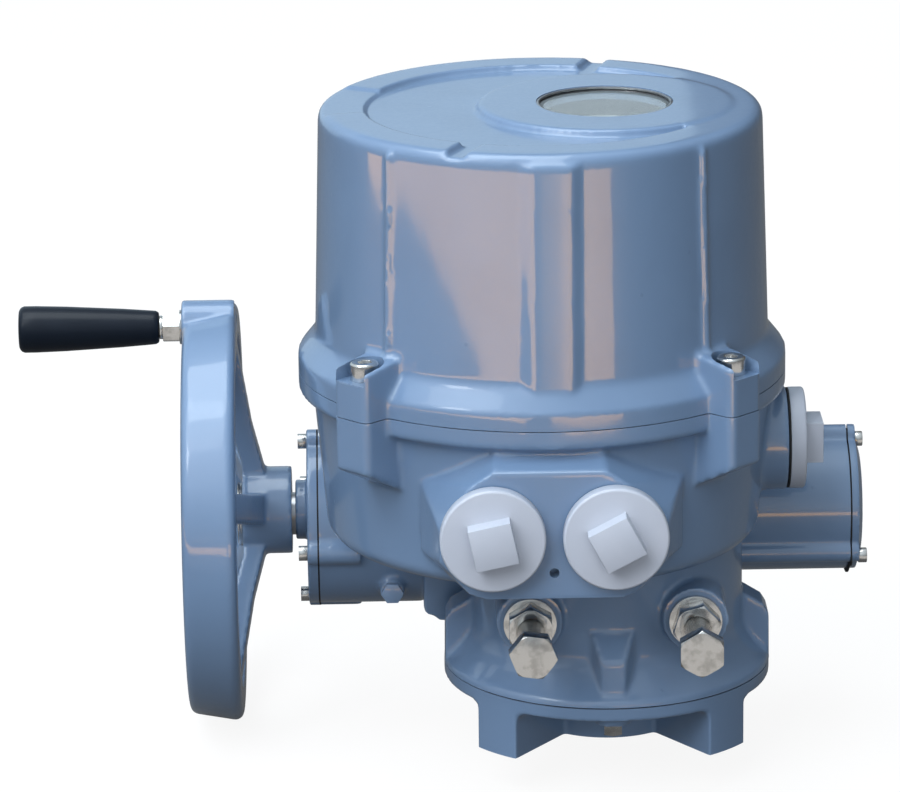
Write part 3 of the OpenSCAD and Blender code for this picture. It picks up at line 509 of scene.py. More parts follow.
class Workshop:
    """The ways in which pieces are made: turning, plates, hulls, casting, cutting and softening."""

    segments = 160

    @staticmethod
    def clear() -> None:
        """Deselects everything."""
        if bpy.context.object and bpy.context.object.mode != "OBJECT":
            bpy.ops.object.mode_set(mode="OBJECT")
        bpy.ops.object.select_all(action="DESELECT")

    @staticmethod
    def pick(*pieces: Piece) -> None:
        """Selects pieces and makes the first one active."""
        Workshop.clear()
        for piece in pieces:
            piece.select_set(True)
        bpy.context.view_layer.objects.active = pieces[0]

    @staticmethod
    def settle(piece: Piece, matrix: Matrix) -> Piece:
        """Moves a piece by a matrix and puts its place into its mesh.

        Args:
            piece: the mesh object.
            matrix: where its present place goes, in metres.

        Returns:
            The piece.
        """
        Workshop.pick(piece)
        piece.matrix_world = matrix @ piece.matrix_world
        bpy.context.view_layer.update()
        bpy.ops.object.transform_apply(location=True, rotation=True, scale=True)
        return piece

    @classmethod
    @contextmanager
    def edit(cls, piece: Piece) -> Iterator[None]:
        """Opens a piece in edit mode with its whole mesh selected, and closes it afterwards."""
        cls.pick(piece)
        bpy.ops.object.mode_set(mode="EDIT")
        bpy.ops.mesh.select_all(action="SELECT")
        try:
            yield
        finally:
            bpy.ops.object.mode_set(mode="OBJECT")

    @classmethod
    def outward(cls, piece: Piece) -> Piece:
        """Turns the faces of a closed piece outwards."""
        with cls.edit(piece):
            bpy.ops.mesh.normals_make_consistent(inside=False)
        return piece

    @classmethod
    def turned(
        cls, rings: Outline, axis: Axis = Axis.Z, centre: Point = ORIGIN, segments: int = 0
    ) -> Piece:
        """Makes a turned solid by extruding and resizing a disc.

        Args:
            rings: (place along the axis, radius) from one end to the other.
            axis: the axis it is turned about.
            centre: a point that the axis goes through.
            segments: how many sides it has, or 0 for the usual number.

        Returns:
            The solid.
        """
        cls.clear()
        start, radius = rings[0]
        bpy.ops.mesh.primitive_circle_add(
            vertices=segments or cls.segments,
            radius=radius * MM,
            fill_type="NGON",
            location=(0, 0, start * MM),
        )
        piece = bpy.context.object
        bpy.ops.object.transform_apply(location=True)
        with cls.edit(piece):
            for (before, old), (place, new) in zip(rings, rings[1:]):
                step = (0, 0, (place - before) * MM)
                bpy.ops.mesh.extrude_region_move(TRANSFORM_OT_translate={"value": step})
                if new != old:
                    grow = new / old
                    bpy.ops.transform.resize(value=(grow, grow, 1), center_override=(0, 0, place * MM))
        cls.settle(piece, Matrix.Translation(Vector(centre) * MM) @ axis.frame)
        return cls.outward(piece)

    @classmethod
    def bar(
        cls, low: float, high: float, radius: float, axis: Axis = Axis.Z, centre: Point = ORIGIN
    ) -> Piece:
        """A straight round bar from low to high along an axis."""
        if axis is Axis.Y:
            low, high = -high, -low
        return cls.turned([(low, radius), (high, radius)], axis, centre)

    @classmethod
    def plate(
        cls, outline: Outline, low: float, high: float, axis: Axis = Axis.Z, centre: Point = ORIGIN
    ) -> Piece:
        """Makes a flat plate by extruding an outline.

        Args:
            outline: the corners, in the plane across the axis: (x, y), (x, z) or (y, z).
            low: where the plate starts along the axis.
            high: where it ends.
            axis: the axis it is extruded along.
            centre: a shift of the whole plate.

        Returns:
            The plate.
        """
        cls.clear()
        if axis is Axis.Y:
            low, high = -high, -low
        bpy.ops.mesh.primitive_circle_add(vertices=len(outline), radius=MM, fill_type="NGON")
        piece = bpy.context.object
        for vertex, (across, along) in zip(piece.data.vertices, outline):
            vertex.co = Vector((across, along, low)) * MM
        with cls.edit(piece):
            bpy.ops.mesh.extrude_region_move(TRANSFORM_OT_translate={"value": (0, 0, (high - low) * MM)})
        cls.settle(piece, Matrix.Translation(Vector(centre) * MM) @ axis.frame)
        return cls.outward(piece)

    @classmethod
    def sliced(cls, piece: Piece, point: Point, normal: Point) -> Piece:
        """Cuts away what lies on the outer side of a plane.

        Args:
            piece: the mesh object.
            point: a point of the plane.
            normal: the direction that is cut away.

        Returns:
            The piece.
        """
        place, facing = Vector(point) * MM, Vector(normal).normalized()
        with cls.edit(piece):
            bpy.ops.mesh.bisect(plane_co=place, plane_no=facing, use_fill=True, clear_outer=True)
        return cls.outward(piece)

    @classmethod
    def block(cls, low: Point, high: Point) -> Piece:
        """A rectangular block between two corners."""
        outline = [(low[0], low[1]), (high[0], low[1]), (high[0], high[1]), (low[0], high[1])]
        return cls.plate(outline, low[2], high[2])

    @classmethod
    def hull(cls, *pieces: Piece) -> Piece:
        """Stretches one skin around several pieces and uses them up.

        Args:
            pieces: the solids to wrap.

        Returns:
            The wrapped solid.
        """
        whole = cls.joined(pieces)
        with cls.edit(whole):
            bpy.ops.mesh.convex_hull()
        return cls.outward(whole)

    @classmethod
    def turn(
        cls, piece: Piece, degrees: float, axis: Axis, about: Point = ORIGIN
    ) -> Piece:
        """Turns a piece about an axis through a point.

        Args:
            piece: the mesh object.
            degrees: the angle.
            axis: the axis.
            about: the point.

        Returns:
            The piece.
        """
        centre = Matrix.Translation(Vector(about) * MM)
        spin = Matrix.Rotation(math.radians(degrees), 4, axis.value)
        return cls.settle(piece, centre @ spin @ centre.inverted())

    @classmethod
    def joined(cls, pieces: Sequence[Piece]) -> Piece:
        """Joins pieces into one object."""
        cls.pick(*pieces)
        if len(pieces) > 1:
            bpy.ops.object.join()
        return bpy.context.object

    @classmethod
    def apply(cls, piece: Piece, kind: str, **settings: object) -> Piece:
        """Adds a modifier and applies it.

        Args:
            piece: the mesh object.
            kind: the modifier's type.
            settings: its properties.

        Returns:
            The piece.
        """
        cls.pick(piece)
        modifier = piece.modifiers.new(kind.title(), kind)
        for key, value in settings.items():
            setattr(modifier, key, value)
        bpy.ops.object.modifier_apply(modifier=modifier.name)
        return piece

    @classmethod
    def cast(
        cls, solids: Sequence[Piece], grain: float, rounds: int, cuts: Sequence[Piece]
    ) -> Piece:
        """Melts solids into one casting with soft corners, then machines it.

        Args:
            solids: the overlapping solids of the casting.
            grain: the size of the mesh in millimetres.
            rounds: how many rounds of smoothing soften the corners.
            cuts: solids machined away last, with sharp edges.

        Returns:
            The casting.
        """
        piece = cls.joined(solids)
        cls.apply(piece, "REMESH", mode="VOXEL", voxel_size=grain * MM)
        cls.apply(piece, "SMOOTH", factor=0.5, iterations=rounds)
        return cls.machined(piece, cuts)

    @classmethod
    def machined(cls, piece: Piece, cuts: Sequence[Piece]) -> Piece:
        """Takes solids away from a piece and uses them up.

        Args:
            piece: the mesh object.
            cuts: the solids to take away.

        Returns:
            The piece.
        """
        for cutter in cuts:
            before = len(piece.data.polygons)
            cls.apply(piece, "BOOLEAN", operation="DIFFERENCE", solver="MANIFOLD", object=cutter)
            if not piece.data.polygons:
                log.error("a cut took %s faces away", before)
            bpy.data.objects.remove(cutter)
        return piece

    @classmethod
    def softened(
        cls, source: Piece, name: str, width: float, segments: int = 2, angle: float = 32
    ) -> Piece:
        """Copies a node's shape and rounds its edges.

        Args:
            source: the node.
            name: the name of the copy.
            width: the width of the rounding in millimetres.
            segments: how many steps the rounding has.
            angle: the least angle in degrees between faces whose edge is rounded.

        Returns:
            The rounded copy.
        """
        piece = bpy.data.objects.new(name, source.data.copy())
        bpy.context.scene.collection.objects.link(piece)
        if piece.data.has_custom_normals:
            cls.pick(piece)
            bpy.ops.mesh.customdata_custom_splitnormals_clear()
        with cls.edit(piece):
            bpy.ops.mesh.remove_doubles(threshold=0.002 * MM)
            bpy.ops.mesh.dissolve_limited(angle_limit=math.radians(0.6))
        cls.apply(
            piece,
            "BEVEL",
            width=width * MM,
            segments=segments,
            limit_method="ANGLE",
            angle_limit=math.radians(angle),
            use_clamp_overlap=True,
        )
        return cls.smooth(piece, angle)

    @classmethod
    def smooth(cls, piece: Piece, angle: float = 34) -> Piece:
        """Shades a piece smooth, apart from edges sharper than an angle in degrees."""
        cls.pick(piece)
        bpy.ops.object.shade_smooth_by_angle(angle=math.radians(angle))
        return piece


class Assembly:
    """What every sub-assembly shares: the frame, the materials and the way a piece is finished."""

    def __init__(self, frame: dict, paints: Paintbox) -> None:
        """Keeps the frame and the materials.

        Args:
            paints: the materials.
        """
        self.nodes = frame["nodes"]
        self.slots = {row["node"]: Slot(row["material_slot"]) for row in frame["record"]["subparts"]}
        self.paints = paints

    def low(self, node: str) -> Vector:
        """The lowest corner of a node, in millimetres."""
        return Vector(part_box(node)[0]) / MM

    def high(self, node: str) -> Vector:
        """The highest corner of a node, in millimetres."""
        return Vector(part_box(node)[1]) / MM

    def finish(self, piece: Piece, name: str, body: str, *nodes: str) -> None:
        """Names a piece, dresses it and puts it in the place of its nodes.

        Args:
            piece: the finished mesh.
            name: its name.
            body: the body it rides on.
            nodes: the nodes that it stands for.
        """
        piece.name = name
        slot = self.slots[nodes[0]]
        piece.data.materials.clear()
        self.paints.dress(piece, slot)
        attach(piece, body)
        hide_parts(*nodes)
        log.info("%s: %d faces", name, len(piece.data.polygons))

    def soften(self, node: str, body: str, width: float, segments: int = 2) -> None:
        """Stands a rounded copy in the place of a node.

        Args:
            node: the node.
            body: the body it rides on.
            width: the width of the rounding in millimetres.
            segments: how many steps the rounding has.
        """
        piece = Workshop.softened(self.nodes[node], node + "_soft", width, segments)
        self.finish(piece, node + "_soft", body, node)


class Casting(Assembly):
    """A cast piece in the place of one node."""

    node = ""
    body = "housing"
    grain = 1.0
    rounds = 5
    crease = 38.0

    def cast(self, solids: Sequence[Piece], cuts: Sequence[Piece]) -> None:
        """Casts, machines and places the piece.

        Args:
            solids: the overlapping solids of the casting.
            cuts: solids machined away last, with sharp edges.
        """
        piece = Workshop.cast(solids, self.grain, self.rounds, cuts)
        Workshop.smooth(piece, self.crease)
        self.finish(piece, self.node + "_casting", self.body, self.node)


def arc(
    cx: float, cy: float, radius: float, start: float, end: float, steps: int = 6
) -> list[tuple[float, float]]:
    """Points along an arc.

    Args:
        cx: the centre's first coordinate.
        cy: the centre's second coordinate.
        radius: the radius.
        start: the first angle in degrees.
        end: the last angle in degrees.
        steps: how many steps it is cut into.

    Returns:
        The points.
    """
    angles = [math.radians(start + (end - start) * i / steps) for i in range(steps + 1)]
    return [(cx + radius * math.cos(a), cy + radius * math.sin(a)) for a in angles]


def swapped(points: Outline) -> list[tuple[float, float]]:
    """The same points with their coordinates swapped."""
    return [(second, first) for first, second in points]


@dataclass(frozen=True)
class Ring:
    """Like places around an axis, such as those of a cover's screws."""

    axis: Axis
    about: Point
    first: Point
    angles: tuple[float, ...]

    def repeat(self, make: Callable[[], Piece]) -> list[Piece]:
        """Makes a piece at the place of angle 0 and turns it, for each place.

        Args:
            make: makes the piece.

        Returns:
            One piece for each place.
        """
        return [Workshop.turn(make(), angle, self.axis, self.about) for angle in self.angles]

    def bars(self, low: float, high: float, radius: float) -> list[Piece]:
        """Lays a round bar from low to high along the axis, at each place."""
        return self.repeat(lambda: Workshop.bar(low, high, radius, self.axis, self.first))


@dataclass
class Plan:
    """The driving sizes that the castings share, most of them read from the frame."""

    bowl_x: float
    seam: float
    cover_top: float
    base_r: float
    base_seam: float
    worm_y: float
    worm_z: float
    case_z: float
    case_end: float
    motor_end: float
    wheel_r: float
    rim_r: float = 110.7
    pad_rise: float = 0.8
    gasket: float = 0.8
    base_gasket: float = 0.6
    rim_near: float = 169.0
    rim_far: float = 194.0
    cover_screw_r: float = 113.8
    base_bolt_r: float = 62.0
    valve_bolt_r: float = 62.5
    post_r: float = 78.0
    plug_half: float = 26.9
    plug_z: float = 123.7
    pad_face: float = 116.0
    pad_shift: float = 1.1
    side_face: float = 82.6
    side_plug_z: float = 131.7
    stop_x: float = 37.2
    stop_z: float = 66.0
    case_r: float = 40.0
    case_screw_r: float = 39.5
    case_screw_turn: float = 7.0
    case_ear_x: float = -113.0
    motor_r: float = 32.0
    motor_screw_r: float = 32.3
    lug_out: float = 9.7
    lug_in: float = 18.0
    lug_half: float = 10.3
    lug_corner: float = 3.0

    @classmethod
    def of(cls, parts: Assembly) -> "Plan":
        """Reads the plan from the frame.

        Args:
            parts: gives the boxes of the nodes.

        Returns:
            The plan.
        """
        wheel_low, wheel_high = parts.low("handwheel"), parts.high("handwheel")
        case_low, case_high = parts.low("gear_case_cover"), parts.high("gear_case_cover")
        cover = (parts.low("cover_seal") + parts.high("cover_seal")) / 2
        return cls(
            bowl_x=cover.x,
            seam=parts.low("top_cover").z,
            cover_top=parts.high("top_cover").z - cls.pad_rise,
            base_r=parts.high("base_flange").y,
            base_seam=parts.low("gear_housing").z,
            worm_y=(wheel_low.y + wheel_high.y) / 2,
            worm_z=(wheel_low.z + wheel_high.z) / 2,
            case_z=(case_low.z + case_high.z) / 2,
            case_end=-parts.high("gear_case_gasket").x,
            motor_end=parts.low("motor_gasket").x,
            wheel_r=(wheel_high.y - wheel_low.y) / 2,
        )

    @property
    def bowl(self) -> Point:
        """A point on the bowl axis."""
        return (self.bowl_x, 0, 0)

    @property
    def pad(self) -> Point:
        """A point on the upright line through the middle of the front pad."""
        return (self.bowl_x + self.pad_shift, 0, 0)

    @property
    def worm(self) -> Point:
        """A point on the worm axis."""
        return (0, self.worm_y, self.worm_z)

    @property
    def case(self) -> Point:
        """A point on the axis of the gear case's round."""
        return (0, self.worm_y, self.case_z)

    @property
    def side_plug(self) -> Point:
        """A point on the axis of the right cable entry."""
        return (0, 0, self.side_plug_z)

    def stop(self, side: int) -> Point:
        """A point on the axis of the left (-1) or right (1) stop bolt."""
        return (side * self.stop_x, 0, self.stop_z)

    @property
    def cover_screws(self) -> Ring:
        """The places of the cover's screws and their lugs."""
        return Ring(Axis.Z, self.bowl, (self.bowl_x + self.cover_screw_r, 0, 0), DIAGONALS)

    @property
    def plate_posts(self) -> Ring:
        """The places of the posts in the bowl."""
        return Ring(Axis.Z, self.bowl, (self.bowl_x + self.post_r, 0, 0), (30, 150, 270))

    @property
    def base_bolts(self) -> Ring:
        """The places of the bolts that hold the base."""
        return Ring(Axis.Z, ORIGIN, (self.base_bolt_r, 0, 0), QUARTERS)

    @property
    def valve_bolts(self) -> Ring:
        """The places of the feet and their threaded holes."""
        return Ring(Axis.Z, ORIGIN, (self.valve_bolt_r, 0, 0), DIAGONALS)

    @property
    def case_screws(self) -> Ring:
        """The places of the gear case cover's screws."""
        angles = tuple(self.case_screw_turn + angle for angle in QUARTERS)
        return Ring(Axis.X, self.case, (0, self.worm_y, self.case_z + self.case_screw_r), angles)

    @property
    def motor_screws(self) -> Ring:
        """The places of the motor end cover's screws."""
        return Ring(Axis.X, self.worm, (0, self.worm_y, self.worm_z + self.motor_screw_r), THIRDS)

    def lug(self, low: float, high: float) -> Piece:
        """A block with rounded corners around a cover screw, on the positive X side of the bowl."""
        corner = self.lug_corner
        outline = [(-self.lug_in, -self.lug_half)]
        outline += arc(self.lug_out - corner, corner - self.lug_half, corner, -90, 0)
        outline += arc(self.lug_out - corner, self.lug_half - corner, corner, 0, 90)
        outline += [(-self.lug_in, self.lug_half)]
        return Workshop.plate(outline, low, high, Axis.Z, self.cover_screws.first)


class GearHousing(Casting):
    """The big casting: bowl, neck, gear case, worm tunnel and motor housing."""

    node = "gear_housing"
    grain = 1.3
    rounds = 3
    neck_r = 62.5
    tunnel_r = 24.0
    bearing_r = 17.5
    stator_r = 28.0
    grease_plug: Point = (-98.5, 0, 52.4)

    def build(self, plan: Plan) -> None:
        """Casts, machines and places the housing."""
        seam = plan.seam
        shop = Workshop
        bowl = swapped(arc(91, 100, 8, -90, 0))
        bowl += [(seam - 11, 104), (seam - 7.6, plan.rim_r), (seam + 3, plan.rim_r)]
        solids = [shop.turned(bowl, centre=plan.bowl), self.neck(plan), self.pad(plan)]
        solids += plan.cover_screws.repeat(lambda: self.lug(plan))
        solids += [shop.turn(self.side_lug(plan), angle, Axis.Z) for angle in (0, 180)]
        solids += [shop.turn(self.tapered_lug(plan), angle, Axis.Z) for angle in (90, 270)]
        solids += [shop.bar(-64, -30, 15, Axis.Y, plan.stop(side)) for side in SIDES]
        solids.append(shop.bar(50, plan.side_face, 23.6, Axis.X, plan.side_plug))
        solids += self.drive_line(plan)
        self.cast(solids, self.hollows(plan))

    def neck(self, plan: Plan) -> Piece:
        """The neck around the worm wheel, on its sloping foot."""
        base = plan.base_r
        rings = [(plan.base_seam - 3, base), (30.6, base), (31.4, base - 0.8), (33.2, base - 3)]
        rings += [(38, 67.5), (43, 64), (48, self.neck_r), (97, self.neck_r)]
        return Workshop.turned(rings)

    def pad(self, plan: Plan) -> Piece:
        """The thickened pad on the front for two cable entries."""
        front = [(-26.5, 152.5), (23, 152.5), (32, 146.5), (49.5, 126), (49.5, 112), (36, 97)]
        front += [(29.5, 94.5), (-29.5, 94.5), (-37, 97), (-50, 112), (-50, 126), (-36, 146.5)]
        back = [(-24, 164), (22, 164), (58, 140), (58, 108), (40, 93.2), (-40, 93.2), (-58, 108), (-58, 140)]
        return Workshop.hull(
            Workshop.plate(front, -plan.pad_face, -plan.pad_face + 1, Axis.Y, plan.pad),
            Workshop.plate(back, -85, -84, Axis.Y, plan.pad),
        )

    def lug(self, plan: Plan) -> Piece:
        """The lug under one cover screw, slanted below, on the positive X side of the bowl."""
        centre, seam = plan.cover_screws.first[0], plan.seam
        outer, inner = seam - 23.6, seam - 38
        slope = (outer - inner) / (plan.lug_out + plan.lug_in)
        block = plan.lug(seam - 42, seam + 3)
        return Workshop.sliced(block, (centre + plan.lug_out, 0, outer), (slope, 0, -1))

    def side_lug(self, plan: Plan) -> Piece:
        """The wide lug of the neck over a base bolt, on the positive X side."""
        low = plan.base_seam - 3
        side = [(54, 60), (63, 60), (72, 54.5), (74.5, 50), (74.8, low), (54, low)]
        return Workshop.plate(side, -9.5, 9.5, Axis.Y)

    def tapered_lug(self, plan: Plan) -> Piece:
        """The lug of the neck over a base bolt that narrows outwards, on the positive X side."""
        low = plan.base_seam - 3
        side = [(54, 59.8), (62.9, 59.8), (70.8, 48.8), (72.3, 34), (72.3, low), (54, low)]
        lug = Workshop.plate(side, -13, 13, Axis.Y)
        for turn in SIDES:
            Workshop.sliced(lug, (62.5, turn * 9.8, 0), (6.4, turn * 12.5, 0))
        return lug

    def drive_line(self, plan: Plan) -> list[Piece]:
        """The gear case, worm tunnel and motor housing, with their feet and ears."""
        shop, worm = Workshop, plan.worm
        web = [(-84, 66), (-84, 43.6), (-82.4, 41.8), (-79, 40.4), (-76.5, 38.2), (-54, 38.2), (-54, 66)]
        solids = [
            shop.bar(-plan.case_end - 2, -84, plan.case_r, Axis.X, plan.case),
            shop.bar(-85, 55, self.tunnel_r, Axis.X, worm),
            shop.bar(44, plan.motor_end + 2, plan.motor_r, Axis.X, worm),
            shop.plate(web, 22, 62, Axis.Y),
            shop.bar(24, 50, 5.8, Axis.Y, self.grease_plug),
        ]
        solids += plan.case_screws.bars(-plan.case_end - 2, plan.case_ear_x, 5.5)
        solids += plan.motor_screws.bars(50, plan.motor_end + 2, 5)
        return solids

    def hollows(self, plan: Plan) -> list[Piece]:
        """What is machined or cored out of the casting."""
        shop, worm, seam = Workshop, plan.worm, plan.seam
        inside = swapped(arc(89, 103, 5, -90, 0)) + [(seam - 10, 99), (seam + 1, 99)]
        cavity = shop.turned(inside, centre=plan.bowl)
        hump = shop.bar(-112, 58, 22, Axis.X, worm)
        groove = shop.machined(
            shop.bar(seam - 2, seam + 1, 104.6, Axis.Z, plan.bowl),
            [shop.bar(seam - 3, seam + 2, 101.4, Axis.Z, plan.bowl)],
        )
        left, right, front = -plan.case_end, plan.motor_end, -plan.pad_face
        earth_hole = (plan.pad[0], 0, 106.5)
        cuts = [
            shop.bar(seam, seam + 20, 160, Axis.Z, plan.bowl),
            shop.bar(plan.base_seam - 10, plan.base_seam, 110),
            shop.bar(left - 9, left, 60, Axis.X, worm),
            shop.bar(right, right + 9, 60, Axis.X, worm),
            shop.machined(cavity, [hump]),
            groove,
            shop.bar(plan.base_seam - 1, 91, 55),
            shop.bar(90, 106, 18),
            shop.bar(left - 1, left + 8.4, 30, Axis.X, worm),
            shop.bar(62, right + 1, self.stator_r, Axis.X, worm),
            shop.bar(51, 63, 11, Axis.X, worm),
            shop.bar(left - 1, 52, self.bearing_r, Axis.X, worm),
            shop.bar(front - 1, front + 8, 2.2, Axis.Y, earth_hole),
            shop.bar(20, 34, 3.5, Axis.Y, self.grease_plug),
        ]
        cuts += plan.cover_screws.bars(seam - 22, seam + 1, 4)
        cuts += plan.base_bolts.bars(plan.base_seam - 1, 46, 2.5)
        cuts += plan.case_screws.bars(left - 1, left + 14, 2)
        cuts += plan.motor_screws.bars(right - 14, right + 1, 2)
        cuts += plan.plate_posts.bars(92, 99, 4)
        for side in SIDES:
            entry = (plan.pad[0] + side * plan.plug_half, 0, plan.plug_z)
            cuts.append(shop.bar(front - 1, -80, 16, Axis.Y, entry))
            cuts.append(shop.bar(-70, -30, 6, Axis.Y, plan.stop(side)))
            cuts.append(shop.bar(-70, -63.8, 13.5, Axis.Y, plan.stop(side)))
        cuts.append(shop.bar(60, plan.side_face + 1, 16, Axis.X, plan.side_plug))
        return cuts


class BaseFlange(Casting):
    """The base with its four feet."""

    node = "base_flange"
    grain = 0.9
    foot_half_angle = 9.1
    arch = 21.8
    ring_r = 35.0
    fillet = 5.0

    def build(self, plan: Plan) -> None:
        """Casts, machines and places the base."""
        bar, top = Workshop.bar, plan.base_seam - plan.base_gasket
        solids = [bar(self.arch, top + 2, plan.base_r), bar(-2, self.arch + 1, self.ring_r)]
        solids += plan.valve_bolts.repeat(lambda: self.foot(plan))
        solids += plan.base_bolts.bars(18, self.arch + 1, 9)
        cuts = [bar(top, top + 9, 110), bar(-9, 0, 110), bar(-1, top + 1, 26)]
        cuts += plan.valve_bolts.bars(-1, 22, 6)
        cuts += plan.base_bolts.bars(-1, 40, 2.75)
        self.cast(solids, cuts)

    def foot(self, plan: Plan) -> Piece:
        """One foot on the positive X side, with the fillets of the arches beside it."""
        half = math.tan(math.radians(self.foot_half_angle))
        rim = arc(0, 0, plan.base_r, -self.foot_half_angle, self.foot_half_angle, 8)
        wedge = Workshop.plate([(30, -30 * half)] + rim + [(30, 30 * half)], -2, self.arch + 1)
        corners = []
        for side in SIDES:
            bend = arc(self.fillet, self.arch - self.fillet, self.fillet, 180, 90)
            outline = [(-side, self.arch + 1)] + [(side * u, v) for u, v in bend]
            corner = Workshop.plate(outline, self.ring_r - 2, plan.base_r - 0.6, Axis.X)
            corners.append(Workshop.turn(corner, side * self.foot_half_angle, Axis.Z))
        return Workshop.joined([wedge] + corners)


class TopCover(Casting):
    """The tall cover with its rim, ribs, screw lugs and the recessed top."""

    node = "top_cover"
    grain = 1.15
    recess_r = 79.0
    recess = 2.6
    pad_r = 57.0
    seat = 185.8
    foot_r = 102.7
    lean_fall = 2.9
    lean_height = 98.0
    rib_pivot_z = 187
    slot_angles = (72, 246)
    notch_angle = 171
    rib_angles = (227, 313, 47, 133)

    def build(self, plan: Plan) -> None:
        """Casts, machines and places the cover."""
        shop = Workshop
        top, seam, bowl = plan.cover_top, plan.seam, plan.bowl
        shell = [(seam - 3, plan.rim_r), (177.2, plan.rim_r), (186, 103.6), (188, self.foot_r)]
        solids = [shop.turned(shell + swapped(arc(94.8, top - 5, 5, 0, 90)), centre=bowl)]
        solids += self.ribs(plan)
        solids += plan.cover_screws.repeat(lambda: self.lug(plan))
        recess = self.recesses(plan)
        piece = shop.joined(solids)
        shop.apply(piece, "REMESH", mode="VOXEL", voxel_size=self.grain * MM)
        piece = shop.machined(piece, recess)
        pad = shop.bar(top - 12, top + plan.pad_rise, self.pad_r)
        piece = shop.joined([piece, pad])
        groove = shop.machined(
            shop.bar(seam - 1, seam + 0.45, 160, Axis.Z, bowl),
            [shop.bar(seam - 2, seam + 2, 108.2, Axis.Z, bowl)],
        )
        cuts = [
            shop.bar(seam - 9, seam, 160, Axis.Z, bowl),
            groove,
            self.cavity(plan),
            shop.bar(top - 8, top + 2, 27),
            shop.bar(self.low("window_seal").z, top + 2, 30.8),
            shop.bar(top - 6, top + 2, 1.6, Axis.Z, (70.5, 12, 0)),
        ]
        cuts += plan.cover_screws.repeat(lambda: self.screw_seat(plan))
        cuts += plan.cover_screws.bars(seam - 1, self.seat + 1, 4.4)
        self.cast([piece], cuts)

    def recesses(self, plan: Plan) -> list[Piece]:
        """What is sunk into the top: the round recess, its two slots and the shallow notch."""
        shop, bowl, x = Workshop, plan.bowl, plan.bowl_x
        low, high = plan.cover_top - self.recess, plan.cover_top + 4
        cuts = [shop.bar(low, high, self.recess_r, Axis.Z, bowl)]
        for angle in self.slot_angles:
            cuts.append(shop.turn(shop.block((x + 60, -4.5, low), (x + 120, 4.5, high)), angle, Axis.Z, bowl))
        notch = [(60, -15), (120, -39), (120, 39), (60, 15)]
        notch_cut = shop.plate(notch, plan.cover_top - 1.3, high, Axis.Z, bowl)
        return cuts + [shop.turn(notch_cut, self.notch_angle, Axis.Z, bowl)]

    def lug(self, plan: Plan) -> Piece:
        """The lug around one cover screw, on the positive X side of the bowl."""
        centre, top = plan.cover_screws.first[0], self.seat + 5.2
        block = plan.lug(plan.seam - 3, top + 3.4)
        return Workshop.sliced(block, (centre + plan.lug_out, 0, top), (2.6, 0, 14.7))

    def ribs(self, plan: Plan) -> list[Piece]:
        """The upright pad on the front of the wall and the four narrow ribs."""
        shop = Workshop
        low, high, foot = plan.seam + 14, plan.cover_top - 4, self.foot_r
        lean = math.degrees(math.atan2(self.lean_fall, self.lean_height))
        crown = -foot - 2
        section = [(-12.6, -88), (-12.4, -foot), (-8.2, crown), (8.8, crown), (12.2, -foot), (12.6, -88)]
        pad = shop.plate(section, low, high, Axis.Z, (plan.bowl_x + 1, 0, 0))
        pads = [shop.turn(pad, -lean, Axis.X, (plan.bowl_x, -foot, self.rib_pivot_z))]
        for angle in self.rib_angles:
            rib = shop.block((plan.bowl_x + 88, -1.5, low + 1), (plan.bowl_x + foot + 1.9, 1.5, high))
            rib = shop.turn(rib, -lean, Axis.Y, (plan.bowl_x + foot, 0, self.rib_pivot_z))
            pads.append(shop.turn(rib, angle, Axis.Z, plan.bowl))
        return pads

    def cavity(self, plan: Plan) -> Piece:
        """The inside of the cover."""
        dome = swapped(arc(88.8, plan.cover_top - 13, 6, 0, 90))
        return Workshop.turned([(plan.seam - 1, 98.5), (187, 98)] + dome, centre=plan.bowl)

    def screw_seat(self, plan: Plan) -> Piece:
        """The open counterbore of one cover screw, on the positive X side."""
        screw, half, high = plan.cover_screws.first, 8.6, 215
        return Workshop.hull(
            Workshop.bar(self.seat, high, half, Axis.Z, screw),
            Workshop.block((screw[0] + 20, -half, self.seat), (screw[0] + 30, half, high)),
        )


class GearCaseCover(Casting):
    """The plate on the gear case with its collar for the handwheel shaft."""

    node = "gear_case_cover"
    grain = 0.7
    rounds = 4

    def build(self, plan: Plan) -> None:
        """Casts, machines and places the plate."""
        shop, worm = Workshop, plan.worm
        face = -plan.case_end - plan.gasket
        front = face - 4.7
        solids = [
            shop.bar(front, face + 2, plan.case_r, Axis.X, plan.case),
            shop.bar(self.low(self.node).x, face, 14, Axis.X, worm),
        ]
        solids += plan.case_screws.bars(front, face + 2, 5.5)
        cuts = [
            shop.bar(face, face + 9, 60, Axis.X, worm),
            shop.bar(front - 20, face + 9, 10.5, Axis.X, worm),
        ]
        cuts += plan.case_screws.bars(front - 2, face + 1, 2.25)
        self.cast(solids, cuts)


class MotorEndCover(Casting):
    """The dished cover on the end of the motor housing."""

    node = "motor_end_cover"
    grain = 0.7
    rounds = 4

    def build(self, plan: Plan) -> None:
        """Casts, machines and places the cover."""
        shop, worm = Workshop, plan.worm
        face, edge = plan.motor_end + plan.gasket, plan.motor_r
        rings = [(face - 2, edge), (face + 3.4, edge), (face + 3.41, edge - 1), (face + 5.4, edge - 7)]
        solids = [shop.turned(rings, Axis.X, worm)]
        solids += plan.motor_screws.bars(face - 2, face + 3.4, 5)
        cuts = [shop.bar(face - 9, face, 60, Axis.X, worm), shop.bar(face - 1, face + 3, 11, Axis.X, worm)]
        cuts += plan.motor_screws.bars(face - 1, face + 10, 2.25)
        cuts += plan.motor_screws.bars(face + 3.1, face + 10, 3.9)
        self.cast(solids, cuts)


